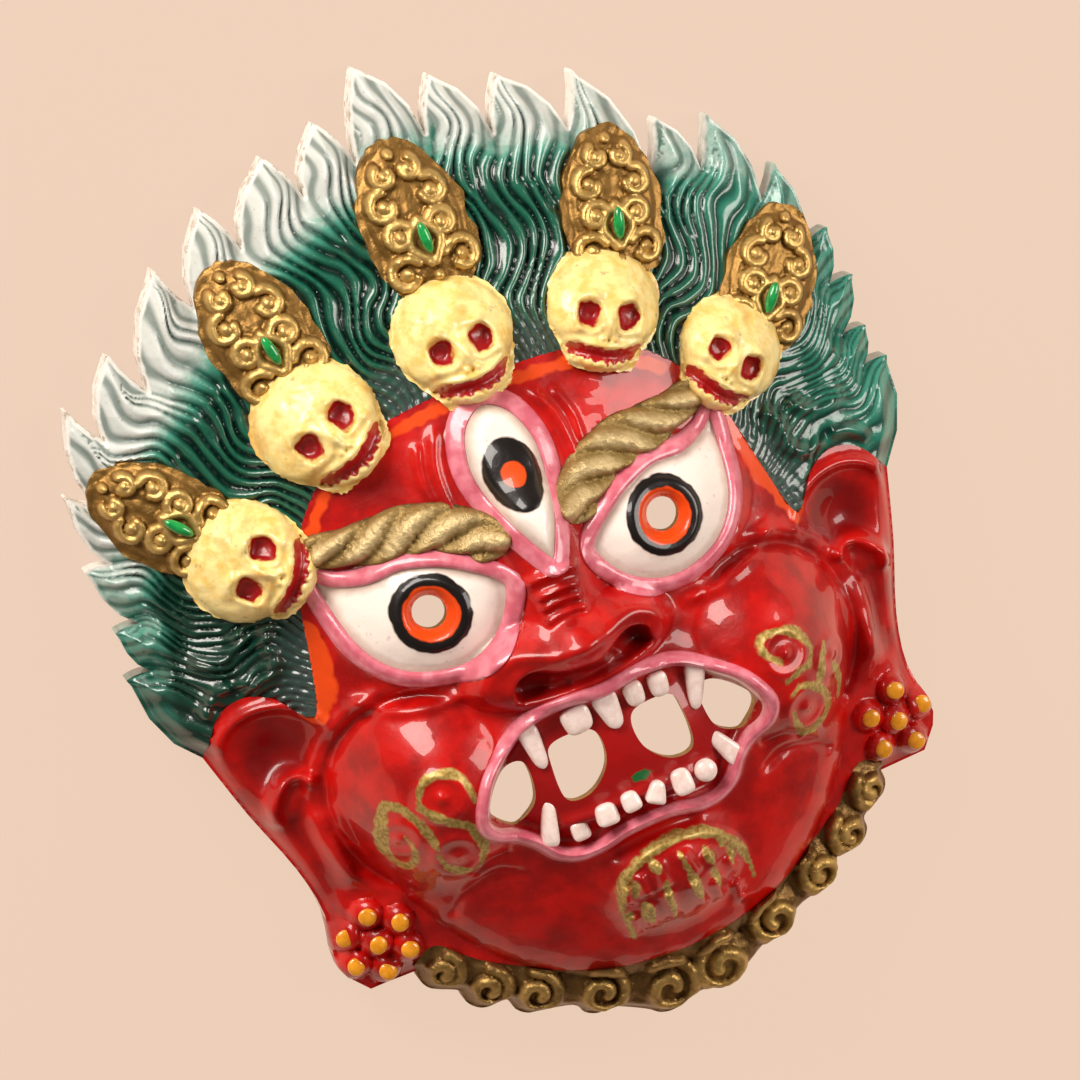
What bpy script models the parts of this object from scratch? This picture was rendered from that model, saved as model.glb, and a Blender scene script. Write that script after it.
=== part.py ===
"""A painted brass mask for a wall: a wrathful face with three eyes, a mane of flames and a crown
of five skulls. It is one hollow casting, open behind. It lies on its flat rim with the face up,
the crown toward +Y and the viewer's right toward +X. Sizes are in millimetres."""

import math

import bmesh
import bpy
import numpy as np
from mathutils import Vector
from mathutils.geometry import delaunay_2d_cdt

MM = 0.001

# The whole casting, and the size at which its carving is drawn below
LENGTH = 184.0
WIDTH = 151.2
DRAWN_LENGTH = 184.0
DRAWN_WIDTH = 151.2

# The shell
WALL = 2.6
THIN_WALL = 1.9
EDGE_THICKNESS = 6.5
EDGE_ROUND = 1.0
RIM_WIDTH = 3.0
RIM_POINTS = 48

# Height of the big forms above the rim
MANE_HEIGHT = 21.0
MANE_INNER = 0.52
FACE_PLACE = (0.0, -20.0)
FACE_HALF_WIDTH = 50.0
FACE_HALF_LENGTH = 62.0
FACE_EDGE_HEIGHT = 13.0
FACE_RISE = 21.0

# Tips of the flames, from the viewer's right ear over the crown to the left ear
FLAME_TIPS = (
    (75.6, 5.9), (73.9, 12.6), (75.0, 22.2), (73.7, 32.1), (68.9, 46.6), (60.5, 59.9), (51.5, 62.8),
    (40.4, 76.7), (27.4, 81.2), (16.0, 85.8), (3.7, 92.0), (-6.8, 85.6), (-17.8, 83.5), (-31.8, 79.2),
    (-43.5, 72.3), (-56.9, 61.3), (-67.6, 54.8), (-73.5, 40.2), (-75.1, 26.3), (-74.2, 14.0),
    (-75.6, 5.2),
)
NOTCH_INWARD = 4.6
NOTCH_DROP = 9.5
NOTCH_LOW = 22.0
LONG_SIDE_BELLY = 0.10
SHORT_SIDE_BELLY = 0.05
TIP_WIDTH = 1.5
LOCK_ROOT = 0.66
LOCK_HEIGHT = 1.5
LOCK_WIDTH = 4.2
LOCK_SWAY = 2.2

# Ears, drawn for the viewer's right and mirrored
EAR_EDGE = ((68.2, -13.4), (64.5, -26.5), (60.1, -39.4), (58.5, -49.3), (59.9, -59.4), (55.8, -65.5))
HELIX_PATH = ((50.0, -9.0), (54.5, -5.6), (60.0, -6.0), (64.0, -10.5), (62.0, -22.0), (58.0, -33.0))
HELIX_WIDTH = 2.8
HELIX_HEIGHT = 2.6
CONCHA = (56.0, -20.0, 4.6, 8.0)
CONCHA_DEPTH = 3.2
LOBE_PATH = ((55.0, -22.0), (57.2, -30.0), (55.5, -40.0), (52.5, -45.5))
LOBE_WIDTH = 3.0
LOBE_HEIGHT = 2.4
EARRING_PLACE = (52.3, -57.0)
EARRING_SPACING = 5.5
EARRING_RADIUS = 2.9
EARRING_HEIGHT = 3.6

# Collar scrolls under the chin: place and radius, viewer's right
COLLAR_SCROLLS = ((43.0, -66.9, 4.0), (36.4, -73.0, 4.5), (28.6, -77.2, 4.8), (17.4, -81.6, 5.4),
                  (5.4, -85.8, 6.2))
COLLAR_SCROLL_HEIGHT = 2.6
COLLAR_BAND = ((43.0, -61.5), (36.0, -67.5), (24.5, -74.0), (12.5, -77.4), (0.0, -78.6))
COLLAR_BAND_WIDTH = 2.2
COLLAR_BAND_HEIGHT = 1.6

# Crown: place, lean to the viewer's left in degrees
SKULLS = ((-48.0, 18.6, 51.0), (-27.4, 37.4, 25.0), (0.6, 42.6, 0.0), (27.6, 36.9, -28.0),
          (46.6, 20.0, -54.0))
SKULL_RADIUS = 10.8
SKULL_HEIGHT = 8.5
SOCKET_RADIUS = 2.9
SOCKET_DEPTH = 3.4
SKULL_TEETH_DEPTH = 1.4
CRESTS = ((-59.5, 32.0, 42.0), (-31.0, 56.4, 12.0), (2.6, 64.8, 0.0), (37.2, 53.4, -17.0),
          (59.8, 29.0, -38.0))
CREST_HALF_WIDTH = 9.4
CREST_HALF_LENGTH = 13.8
CREST_HEIGHT = 3.4
CREST_CURLS = ((3.2, 7.3, 3.0), (4.3, -0.8, 3.3), (5.0, -9.0, 3.2))
CREST_CURL_HEIGHT = 1.7
CREST_GEM = (0.0, -5.4, 1.5, 3.0)
CREST_GEM_HEIGHT = 2.0

# Third eye, on the forehead
THIRD_EYE_WIDE = (0.0, 20.5, 8.2, 11.5)
THIRD_EYE_TAIL = ((0.0, 12.0), (0.0, 1.5))
THIRD_EYE_HEIGHT = 4.2
THIRD_BALL = (0.0, 18.6, 5.0, 6.4)
THIRD_BALL_HEIGHT = 2.6
LID_WIDTH = 1.5
LID_HEIGHT = 1.3

# Eyes, viewer's right and mirrored
EYE_PLACE = (22.6, 0.6)
EYE_HALF_WIDTH = 16.0
EYE_HALF_HEIGHT = 11.6
EYE_HEIGHT = 8.0
EYE_FLICK = ((31.0, 7.0), (39.6, 13.4))
PUPIL_HOLE_RADIUS = 3.0
IRIS_RADIUS = 5.0
IRIS_DEPTH = 1.6
BROW_PATH = ((6.6, 6.0), (10.0, 10.8), (16.5, 14.4), (22.0, 15.4), (28.0, 15.4), (34.0, 16.2), (39.0, 17.0))
BROW_WIDTH = 4.0
BROW_HEIGHT = 4.4
BROW_TWISTS = 7

# Nose
NOSE_LINE = ((0.0, 8.0), (-0.6, -3.0), (-1.4, -11.0))
NOSE_WIDTH = 9.0
NOSE_HEIGHT = 6.5
NOSE_TIP = (-1.4, -13.0, 9.5, 8.0)
NOSE_TIP_HEIGHT = 13.5
WING_PLACE = (12.6, -15.0, 6.4, 6.0)
WING_HEIGHT = 10.0
NOSTRIL_PLACE = (8.6, -18.2, 3.2, 2.2)
NOSTRIL_DEPTH = 4.5
WRINKLES = (-0.5, -3.7, -6.4)
WRINKLE_PATH = ((-6.5, -1.4), (-2.5, 0.9), (1.5, 0.9), (5.5, -1.4))
WRINKLE_HEIGHT = 1.2

# Cheeks
CHEEK_PLACE = (34.0, -32.0, 17.0, 21.0)
CHEEK_HEIGHT = 12.0
CHEEK_CURLS = ((33.8, -29.6, 3.6), (34.4, -40.8, 3.6), (43.0, -36.0, 3.0))
CURL_WIDTH = 1.2
CURL_HEIGHT = 1.0

# Mouth
LIP_HALF = ((0.0, -23.2), (6.0, -22.7), (11.5, -23.1), (16.0, -24.6), (20.5, -27.9), (25.0, -31.6),
            (28.0, -37.6), (26.6, -41.4), (22.6, -43.8), (19.6, -46.4), (17.2, -49.6), (13.4, -51.4),
            (9.0, -51.2), (5.0, -49.9), (0.0, -49.5))
LIP_WIDTH = 2.2
LIP_HEIGHT = 2.4
MUZZLE_PLACE = (0.0, -36.0, 31.0, 21.0)
MUZZLE_HEIGHT = 10.0
MOUTH_SINK = 2.4
INNER_HOLE = ((3.0, -32.0), (6.6, -28.9), (12.0, -30.2), (12.6, -39.6), (6.4, -38.9))
OUTER_HOLE = ((17.0, -31.2), (21.6, -31.6), (25.9, -36.8), (22.2, -41.8), (17.5, -38.6))
UPPER_TEETH = ((-6.6, -26.2, 2.8, 2.0), (4.3, -26.0, 1.9, 2.0), (9.2, -26.2, 1.9, 2.2))
LOWER_TEETH = ((-14.0, -44.9, 2.0, 2.0), (-8.4, -44.2, 2.2, 2.1), (-3.2, -43.7, 2.0, 1.8),
               (1.8, -43.9, 2.1, 2.0), (6.8, -44.2, 2.0, 2.2), (11.8, -44.1, 2.4, 2.3))
FANGS = (((-15.4, -24.6), (-15.4, -31.6)), ((-0.4, -24.3), (-0.4, -30.6)), ((16.6, -27.2), (14.2, -33.0)),
         ((-19.4, -46.0), (-16.4, -38.9)), ((17.8, -46.6), (15.1, -39.4)))
FANG_WIDTH = 1.9
TOOTH_HEIGHT = 2.2

# Chin
CHIN_PLACE = (0.6, -61.0, 17.0, 14.0)
CHIN_HEIGHT = 10.5
BEARD_ARCH = ((-11.6, -69.0), (-11.2, -62.0), (-6.8, -56.4), (0.2, -54.6), (7.6, -56.2), (12.2, -61.0),
              (13.4, -68.6))
BEARD_LOCKS = (-8.0, -3.6, 0.8, 5.2, 9.6)
BEARD_TOP = -57.5
BEARD_BOTTOM = -70.5
BEARD_HEIGHT = 1.2

# Mesh
FIRST_SPACING = 5.0
FRONT_ERROR = 0.62
SMALLEST_STEP = 1.8
REFINEMENTS = 7
BACK_SPACING = 6.5
BACK_ERROR = 0.9
BACK_REFINEMENTS = 3
SMALLEST_BACK_STEP = 3.0
RED_ENAMEL = (0.42, 0.008, 0.006)


def ease(share):
    """A smooth step from 0 to 1."""
    share = np.clip(share, 0.0, 1.0)
    return share * share * (3.0 - 2.0 * share)


def curve(points, steps, closed=False):
    """Points on a smooth curve through the named points."""
    points = [np.array(point, float) for point in points]
    if closed:
        ring = [points[-1]] + points + points[:2]
    else:
        ring = [2 * points[0] - points[1]] + points + [2 * points[-1] - points[-2]]
    path = []
    for before, start, end, after in zip(ring, ring[1:], ring[2:], ring[3:]):
        for step in range(steps):
            t = step / steps
            path.append(0.5 * (2 * start + (end - before) * t
                               + (2 * before - 5 * start + 4 * end - after) * t * t
                               + (3 * start - before - 3 * end + after) * t ** 3))
    if not closed:
        path.append(points[-1])
    return np.array(path)


def mirrored(points, side):
    return [(side * x, y) for x, y in points]


def local(x, y, place, turn=0.0):
    """Coordinates from a place, with the second one along its own upward axis."""
    angle = math.radians(turn)
    dx, dy = x - place[0], y - place[1]
    return dx * math.cos(angle) + dy * math.sin(angle), dy * math.cos(angle) - dx * math.sin(angle)


def egg(x, y, oval):
    """0 in the middle of an oval (x, y, half width, half height), and 1 on its edge."""
    return np.hypot((x - oval[0]) / oval[2], (y - oval[1]) / oval[3])


def boss(reach, height, fullness=0.8):
    """A swelling that ends where reach is 1."""
    return height * np.clip(1.0 - reach * reach, 0.0, 1.0) ** fullness


def along(x, y, path):
    """Distance from a path, and the share of its length where it is nearest."""
    path = np.asarray(path, float)
    steps = np.diff(path, axis=0)
    lengths = np.hypot(steps[:, 0], steps[:, 1])
    nearest = np.full(np.shape(x), 1e9)
    share = np.zeros(np.shape(x))
    run = 0.0
    for start, step, length in zip(path, steps, lengths):
        t = np.clip(((x - start[0]) * step[0] + (y - start[1]) * step[1]) / length ** 2, 0.0, 1.0)
        gap = np.hypot(x - start[0] - t * step[0], y - start[1] - t * step[1])
        closer = gap < nearest
        nearest = np.where(closer, gap, nearest)
        share = np.where(closer, (run + t * length) / lengths.sum(), share)
        run += length
    return nearest, share


def ridge(x, y, path, width, height, fullness=0.8):
    gap, _ = along(x, y, path)
    return boss(gap / width, height, fullness)


def inside(x, y, loop):
    """Whether each point lies inside a closed loop."""
    within = np.zeros(np.shape(x), bool)
    for (ax, ay), (bx, by) in zip(loop, np.roll(loop, -1, axis=0)):
        if ay == by:
            continue
        crosses = (ay > y) != (by > y)
        within ^= crosses & (x < ax + (y - ay) * (bx - ax) / (by - ay))
    return within


def notch_beside(tip, side):
    """The notch on the inner side of a flame, deeper toward the crown."""
    drop = NOTCH_DROP * ease((tip[1] - NOTCH_LOW) / (DRAWN_LENGTH / 4))
    return np.array((tip[0] - side * NOTCH_INWARD, tip[1] - drop))


def flame_side(start, end, belly):
    """Two points between the ends of a flame's side, pushed outward by a share of its length."""
    chord = end - start
    outward = belly * np.array((chord[1], -chord[0]))
    outward *= math.copysign(1.0, outward @ (start + end))
    return [start + 0.35 * chord + outward, start + 0.7 * chord + outward]


def flame_outline():
    """From the right ear over the crown to the left ear. Each flame's long side is its outer one."""
    tips = [np.array(tip) for tip in FLAME_TIPS]
    top = max(range(len(tips)), key=lambda index: tips[index][1])
    notches = [np.array(EAR_EDGE[0])]
    for index in range(1, len(tips)):
        right = index <= top
        notches.append(notch_beside(tips[index - 1 if right else index], 1 if right else -1))
    notches.append(np.array((-EAR_EDGE[0][0], EAR_EDGE[0][1])))
    points = []
    for index, (before, tip, after) in enumerate(zip(notches, tips, notches[1:])):
        inward = (before + after) / 2 - tip
        shoulder = tip + inward * TIP_WIDTH / (2 * np.linalg.norm(inward))
        across = (after - before) * TIP_WIDTH / (2 * np.linalg.norm(after - before))
        bellies = (LONG_SIDE_BELLY, SHORT_SIDE_BELLY)
        first, last = bellies if index <= top else reversed(bellies)
        points += [before] + flame_side(before, shoulder - across, first)
        points += [shoulder - across, tip, shoulder + across]
        points += flame_side(shoulder + across, after, last)
    points.append(notches[-1])
    return points


def collar_outline():
    """The lobed lower edge, from the left ear round to the right ear."""
    lobes = []
    for x, y, radius in COLLAR_SCROLLS:
        heading = math.atan2(y + DRAWN_LENGTH / 4, x)
        arc = [heading + turn for turn in (0.75, 0.25, -0.25, -0.75)]
        lobes += [(x + radius * math.cos(angle), y + radius * math.sin(angle)) for angle in arc]
    lowest = min(y for _, y in lobes)
    lobes = [(x, y * DRAWN_LENGTH / -2 / lowest) if y < -DRAWN_LENGTH * 0.4 else (x, y) for x, y in lobes]
    left = [np.array((-x, y)) for x, y in lobes]
    right = [np.array(lobe) for lobe in reversed(lobes)]
    return left + right


def outline():
    """The casting's edge, seen from the front, anticlockwise."""
    ear = list(curve(EAR_EDGE, 2))
    left_ear = [np.array((-x, y)) for x, y in ear]
    return np.array(flame_outline() + left_ear[1:] + collar_outline() + ear[:0:-1])


def holes():
    """Both pupils and the four openings of the mouth."""
    loops = []
    for side in (-1, 1):
        turns = np.linspace(0.0, 2 * math.pi, 12, endpoint=False)
        loops.append(np.stack([side * EYE_PLACE[0] + PUPIL_HOLE_RADIUS * np.cos(turns),
                               EYE_PLACE[1] + PUPIL_HOLE_RADIUS * np.sin(turns)], 1))
        for hole in (INNER_HOLE, OUTER_HOLE):
            loops.append(curve(mirrored(hole, side), 2, closed=True))
    return loops


def base_height(x, y):
    """The big form: the mane's cone and the face's dome on it."""
    reach = np.hypot(x / (DRAWN_WIDTH / 2), y / (DRAWN_LENGTH / 2))
    slope = (MANE_HEIGHT - EDGE_THICKNESS) / (1.0 - MANE_INNER)
    mane = EDGE_THICKNESS + slope * np.clip(1.0 - reach, 0.0, 1.0)
    face = np.hypot((x - FACE_PLACE[0]) / FACE_HALF_WIDTH, (y - FACE_PLACE[1]) / FACE_HALF_LENGTH)
    dome = FACE_EDGE_HEIGHT + boss(face, FACE_RISE, 0.6)
    dome = np.where(face < 1.0, dome, 0.0)
    return np.maximum(mane, dome)


def big_forms(x, y):
    """Swellings that the hollow behind follows too."""
    z = boss(egg(x, y, CHIN_PLACE), CHIN_HEIGHT, 1.1)
    z = np.maximum(z, boss(egg(x, y, MUZZLE_PLACE), MUZZLE_HEIGHT, 1.1))
    nose = np.maximum(ridge(x, y, curve(NOSE_LINE, 3), NOSE_WIDTH, NOSE_HEIGHT),
                      boss(egg(x, y, NOSE_TIP), NOSE_TIP_HEIGHT, 0.7))
    for side in (-1, 1):
        wing = (NOSE_TIP[0] + side * WING_PLACE[0], *WING_PLACE[1:])
        nose = np.maximum(nose, boss(egg(x, y, wing), WING_HEIGHT, 0.7))
        cheek = (side * CHEEK_PLACE[0], *CHEEK_PLACE[1:])
        z = np.maximum(z, boss(egg(x, y, cheek), CHEEK_HEIGHT, 1.1))
        ball = (side * EYE_PLACE[0], EYE_PLACE[1], EYE_HALF_WIDTH, EYE_HALF_HEIGHT)
        z = np.maximum(z, boss(egg(x, y, ball), EYE_HEIGHT, 0.6))
    return np.maximum(z, nose)


def mane_locks(x, y):
    """One curling lock on each flame, with a groove between neighbours."""
    z = np.zeros(np.shape(x))
    for index, tip in enumerate(FLAME_TIPS):
        tip = np.array(tip)
        root = tip * LOCK_ROOT
        across = np.array((-tip[1], tip[0])) / np.linalg.norm(tip)
        sway = LOCK_SWAY * (1 if index % 2 else -1)
        path = curve((root, (root + tip) / 2 + sway * across, tip), 4)
        z = np.maximum(z, ridge(x, y, path, LOCK_WIDTH, LOCK_HEIGHT))
    return z


def skull(x, y, place):
    a, b = local(x, y, place[:2], place[2])
    size = SKULL_RADIUS
    cranium = boss(egg(a, b, (0.0, 0.16 * size, size, 0.86 * size)), SKULL_HEIGHT, 0.6)
    jaw = boss(egg(a, b, (0.0, -0.56 * size, 0.72 * size, 0.50 * size)), 0.72 * SKULL_HEIGHT, 0.5)
    z = np.maximum(cranium, jaw)
    for side in (-1, 1):
        z = z - boss(egg(a, b, (side * 0.33 * size, 0.0, SOCKET_RADIUS, SOCKET_RADIUS)), SOCKET_DEPTH, 0.5)
    z = z - boss(egg(a, b, (0.0, -0.34 * size, 0.14 * size, 0.16 * size)), SOCKET_DEPTH / 3)
    grin = [(-0.50 * size, -0.58 * size), (0.0, -0.78 * size), (0.50 * size, -0.58 * size)]
    return z - ridge(a, b, grin, 0.10 * size, SKULL_TEETH_DEPTH)


def crest(x, y, place):
    a, b = local(x, y, place[:2], place[2])
    reach = egg(a, b, (0.0, 0.0, CREST_HALF_WIDTH, CREST_HALF_LENGTH))
    z = CREST_HEIGHT * ease((1.0 - reach) / 0.16)
    z = z - 0.4 * CREST_HEIGHT * ease((0.80 - reach) / 0.20)
    for side in (-1, 1):
        for curl_x, curl_y, radius in CREST_CURLS:
            curl = boss(egg(a, b, (side * curl_x, curl_y, radius, radius)), CREST_CURL_HEIGHT)
            z = z + np.where(reach < 1.0, curl, 0.0)
    return z + boss(egg(a, b, CREST_GEM), CREST_GEM_HEIGHT)


def eyes(x, y):
    z = np.zeros(np.shape(x))
    for side in (-1, 1):
        ball = egg(x, y, (side * EYE_PLACE[0], EYE_PLACE[1], EYE_HALF_WIDTH, EYE_HALF_HEIGHT))
        z = z + boss((ball - 0.97) / (LID_WIDTH / EYE_HALF_HEIGHT), LID_HEIGHT)
        z = np.maximum(z, ridge(x, y, mirrored(EYE_FLICK, side), LID_WIDTH, LID_HEIGHT))
        iris = egg(x, y, (side * EYE_PLACE[0], EYE_PLACE[1], IRIS_RADIUS, IRIS_RADIUS))
        z = z - boss(iris, IRIS_DEPTH)
    return z


def third_eye(x, y):
    wide = egg(x, y, THIRD_EYE_WIDE)
    tail, share = along(x, y, THIRD_EYE_TAIL)
    edge = np.minimum(wide, tail / (1.2 + 4.0 * (1.0 - share)))
    z = boss(edge, THIRD_EYE_HEIGHT, 0.35)
    return z + boss(egg(x, y, THIRD_BALL), THIRD_BALL_HEIGHT)


def brows(x, y):
    z = np.zeros(np.shape(x))
    for side in (-1, 1):
        gap, share = along(x, y, curve(mirrored(BROW_PATH, side), 3))
        width = BROW_WIDTH * (1.0 - 0.45 * ease((share - 0.6) / 0.4))
        twist = 1.0 + 0.14 * np.cos(2 * math.pi * (BROW_TWISTS * share + 0.5 * gap / width))
        z = np.maximum(z, boss(gap / width, BROW_HEIGHT, 0.6) * twist)
    return z


def nose_details(x, y):
    z = np.zeros(np.shape(x))
    for drop in WRINKLES:
        path = [(wx, wy + drop) for wx, wy in WRINKLE_PATH]
        z = z + ridge(x, y, path, 1.5, WRINKLE_HEIGHT)
    for side in (-1, 1):
        nostril = (NOSE_TIP[0] + side * NOSTRIL_PLACE[0], *NOSTRIL_PLACE[1:])
        z = z - boss(egg(x, y, nostril), NOSTRIL_DEPTH)
    return z


def lip_loop():
    right = list(LIP_HALF)
    return right + [(-px, py) for px, py in reversed(right[1:-1])]


def mouth(x, y):
    """Rolled lips round a sunk mouth, with teeth and fangs."""
    loop = curve(lip_loop(), 2, closed=True)
    gap, _ = along(x, y, np.vstack([loop, loop[:1]]))
    within = inside(x, y, loop)
    z = np.where(within, -MOUTH_SINK * ease(gap / LIP_WIDTH), 0.0)
    z = z + boss(gap / LIP_WIDTH, LIP_HEIGHT)
    teeth = np.zeros(np.shape(x))
    for tooth in UPPER_TEETH + LOWER_TEETH:
        teeth = np.maximum(teeth, boss(egg(x, y, tooth), TOOTH_HEIGHT, 0.4))
    for root, point in FANGS:
        fang, share = along(x, y, (root, point))
        teeth = np.maximum(teeth, boss(fang / (FANG_WIDTH * (1.0 - 0.6 * share)), TOOTH_HEIGHT, 0.4))
    return z + teeth


def curl_ring(x, y, place):
    """An open ring, as a stroke with a bead in it."""
    reach = np.hypot(x - place[0], y - place[1])
    return boss((reach - place[2]) / CURL_WIDTH, CURL_HEIGHT) + boss(reach / CURL_WIDTH, CURL_HEIGHT)


def cheeks(x, y):
    z = np.zeros(np.shape(x))
    for side in (-1, 1):
        for curl_x, curl_y, radius in CHEEK_CURLS:
            z = z + curl_ring(x, y, (side * curl_x, curl_y, radius))
    return z


def beard(x, y):
    z = ridge(x, y, curve(BEARD_ARCH, 2), CURL_WIDTH, CURL_HEIGHT)
    for place in BEARD_LOCKS:
        lock = ((place, BEARD_TOP - 0.04 * place ** 2), (place, BEARD_BOTTOM))
        z = z + ridge(x, y, lock, 1.9, BEARD_HEIGHT)
    return z


def ears(x, y):
    z = np.zeros(np.shape(x))
    for side in (-1, 1):
        z = z + ridge(x, y, curve(mirrored(HELIX_PATH, side), 2), HELIX_WIDTH, HELIX_HEIGHT)
        z = z - boss(egg(x, y, (side * CONCHA[0], *CONCHA[1:])), CONCHA_DEPTH)
        z = z + ridge(x, y, curve(mirrored(LOBE_PATH, side), 2), LOBE_WIDTH, LOBE_HEIGHT)
        beads = [(0.0, 0.0)]
        for step in range(6):
            angle = math.pi * (step + 0.5) / 3
            beads.append((EARRING_SPACING * math.cos(angle), EARRING_SPACING * math.sin(angle)))
        cluster = np.zeros(np.shape(x))
        for bead_x, bead_y in beads:
            place = (side * EARRING_PLACE[0] + bead_x, EARRING_PLACE[1] + bead_y)
            bead = egg(x, y, (*place, EARRING_RADIUS, EARRING_RADIUS))
            cluster = np.maximum(cluster, boss(bead, EARRING_HEIGHT, 0.6))
        z = z + cluster
    return z


def collar(x, y):
    z = np.zeros(np.shape(x))
    for side in (-1, 1):
        z = np.maximum(z, ridge(x, y, curve(mirrored(COLLAR_BAND, side), 2), COLLAR_BAND_WIDTH,
                                COLLAR_BAND_HEIGHT, 0.5))
        for scroll_x, scroll_y, radius in COLLAR_SCROLLS:
            reach = np.hypot(x - side * scroll_x, y - scroll_y) / radius
            ring = boss((reach - 0.72) / 0.34, COLLAR_SCROLL_HEIGHT)
            z = np.maximum(z, ring + boss(reach / 0.42, 0.7 * COLLAR_SCROLL_HEIGHT))
    return z


def front_height(x, y, edge):
    """Height of the carved front over the rim's plane, rounded off along the outer edge."""
    z = base_height(x, y) + big_forms(x, y)
    z = z + mane_locks(x, y) + eyes(x, y) + brows(x, y) + third_eye(x, y) + nose_details(x, y)
    z = z + mouth(x, y) + cheeks(x, y) + beard(x, y) + ears(x, y) + collar(x, y)
    for place in SKULLS:
        z = z + skull(x, y, place)
    for place in CRESTS:
        z = z + crest(x, y, place)
    gap, _ = along(x, y, np.vstack([edge, edge[:1]]))
    near = 1.0 - ease(gap / (4 * EDGE_ROUND))
    return z - near * (z - EDGE_THICKNESS) - boss(gap / EDGE_ROUND, 0.4 * EDGE_ROUND)


def back_height(x, y, edge, rim):
    """The hollow's ceiling: the smooth form less the wall, and never nearer to a pit than the thin wall."""
    forms, fronts = [], []
    for dx, dy in ((0, 0), (WALL, 0), (-WALL, 0), (0, WALL), (0, -WALL)):
        forms.append(base_height(x + dx, y + dy) + big_forms(x + dx, y + dy))
        fronts.append(front_height(x + 0.6 * dx, y + 0.6 * dy, edge))
    steep = np.hypot(forms[1] - forms[2], forms[3] - forms[4]) / (2 * WALL)
    ceiling = forms[0] - WALL * np.sqrt(1.0 + steep ** 2)
    ceiling = np.minimum(ceiling, np.minimum.reduce(fronts) - THIN_WALL)
    gap, _ = along(x, y, np.vstack([rim, rim[:1]]))
    return ceiling * ease(gap / (2 * WALL))


def triangulate(points, loops):
    """Delaunay triangles that keep each loop's edges, inside the first loop and outside the others."""
    edges = []
    count = 0
    for loop in loops:
        edges += [(count + i, count + (i + 1) % len(loop)) for i in range(len(loop))]
        count += len(loop)
    everything = [Vector(point) for loop in loops for point in loop] + [Vector(point) for point in points]
    result = delaunay_2d_cdt(everything, edges, [], 0, 1e-6)
    spots = np.array([tuple(spot) for spot in result[0]])
    faces = np.array([face for face in result[2] if len(face) == 3])
    middle = spots[faces].mean(axis=1)
    keep = inside(middle[:, 0], middle[:, 1], loops[0])
    for loop in loops[1:]:
        keep &= ~inside(middle[:, 0], middle[:, 1], loop)
    return spots, faces[keep]


def first_points(loops, spacing):
    """A triangular lattice inside the loops, clear of their edges."""
    low, high = loops[0].min(axis=0), loops[0].max(axis=0)
    rows = np.arange(low[1], high[1], spacing * math.sqrt(0.75))
    points = []
    for number, row in enumerate(rows):
        for column in np.arange(low[0] + spacing * 0.5 * (number % 2), high[0], spacing):
            points.append((column, row))
    points = np.array(points)
    x, y = points[:, 0], points[:, 1]
    keep = inside(x, y, loops[0])
    for loop in loops:
        gap, _ = along(x, y, np.vstack([loop, loop[:1]]))
        keep &= gap > spacing / 2
    for loop in loops[1:]:
        keep &= ~inside(x, y, loop)
    return points[keep]


def fitted_sheet(loops, height, spacing, error, refinements, smallest):
    """Triangles that follow a height function, made finer only where it bends."""
    points = first_points(loops, spacing)
    for _ in range(refinements):
        spots, faces = triangulate(points, loops)
        levels = height(spots[:, 0], spots[:, 1])
        corners = spots[faces]
        weights = np.array(((1, 1, 1), (4, 1, 1), (1, 4, 1), (1, 1, 4))) / np.array([[3], [6], [6], [6]])
        tests = np.einsum("kc,fcd->fkd", weights, corners)
        flat = np.einsum("kc,fc->fk", weights, levels[faces])
        miss = np.abs(height(tests[..., 0], tests[..., 1]) - flat)
        sides = np.linalg.norm(corners - np.roll(corners, 1, axis=1), axis=2)
        doubled = np.abs(np.cross(corners[:, 1] - corners[:, 0], corners[:, 2] - corners[:, 0]))
        worst = miss.argmax(axis=1)
        chosen = (miss.max(axis=1) > error) & (doubled / sides.max(axis=1) > smallest)
        if not chosen.any():
            break
        points = np.vstack([points, tests[chosen, worst[chosen]]])
    spots, faces = triangulate(points, loops)
    return spots, faces, height(spots[:, 0], spots[:, 1])


def rim_loop(edge):
    """The edge of the hollow: a smooth loop one rim width inside the notches of the flames."""
    heading = np.arctan2(edge[:, 1], edge[:, 0])
    reach = np.hypot(edge[:, 0], edge[:, 1])
    loop = []
    for step in range(RIM_POINTS):
        angle = 2 * math.pi * step / RIM_POINTS
        apart = np.abs((heading - angle + math.pi) % (2 * math.pi) - math.pi)
        nearest = reach[apart < 2.2 * math.pi / RIM_POINTS].min() - RIM_WIDTH
        loop.append((nearest * math.cos(angle), nearest * math.sin(angle)))
    loop = np.array(loop)
    return 0.5 * loop + 0.25 * (np.roll(loop, 1, axis=0) + np.roll(loop, -1, axis=0))


def add_face(mesh, corners):
    scale = (WIDTH / DRAWN_WIDTH * MM, LENGTH / DRAWN_LENGTH * MM, MM)
    verts = [mesh.verts.new((x * scale[0], y * scale[1], z * scale[2])) for x, y, z in corners]
    mesh.faces.new(verts)


def add_sheet(mesh, spots, faces, levels):
    for face in faces:
        add_face(mesh, [(*spots[corner], levels[corner]) for corner in face])


def add_wall(mesh, loop, low, high):
    """Two triangles under each edge of a loop, between two heights."""
    count = len(loop)
    for i in range(count):
        j = (i + 1) % count
        add_face(mesh, [(*loop[i], low[i]), (*loop[j], low[j]), (*loop[j], high[j])])
        add_face(mesh, [(*loop[i], low[i]), (*loop[j], high[j]), (*loop[i], high[i])])


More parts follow.
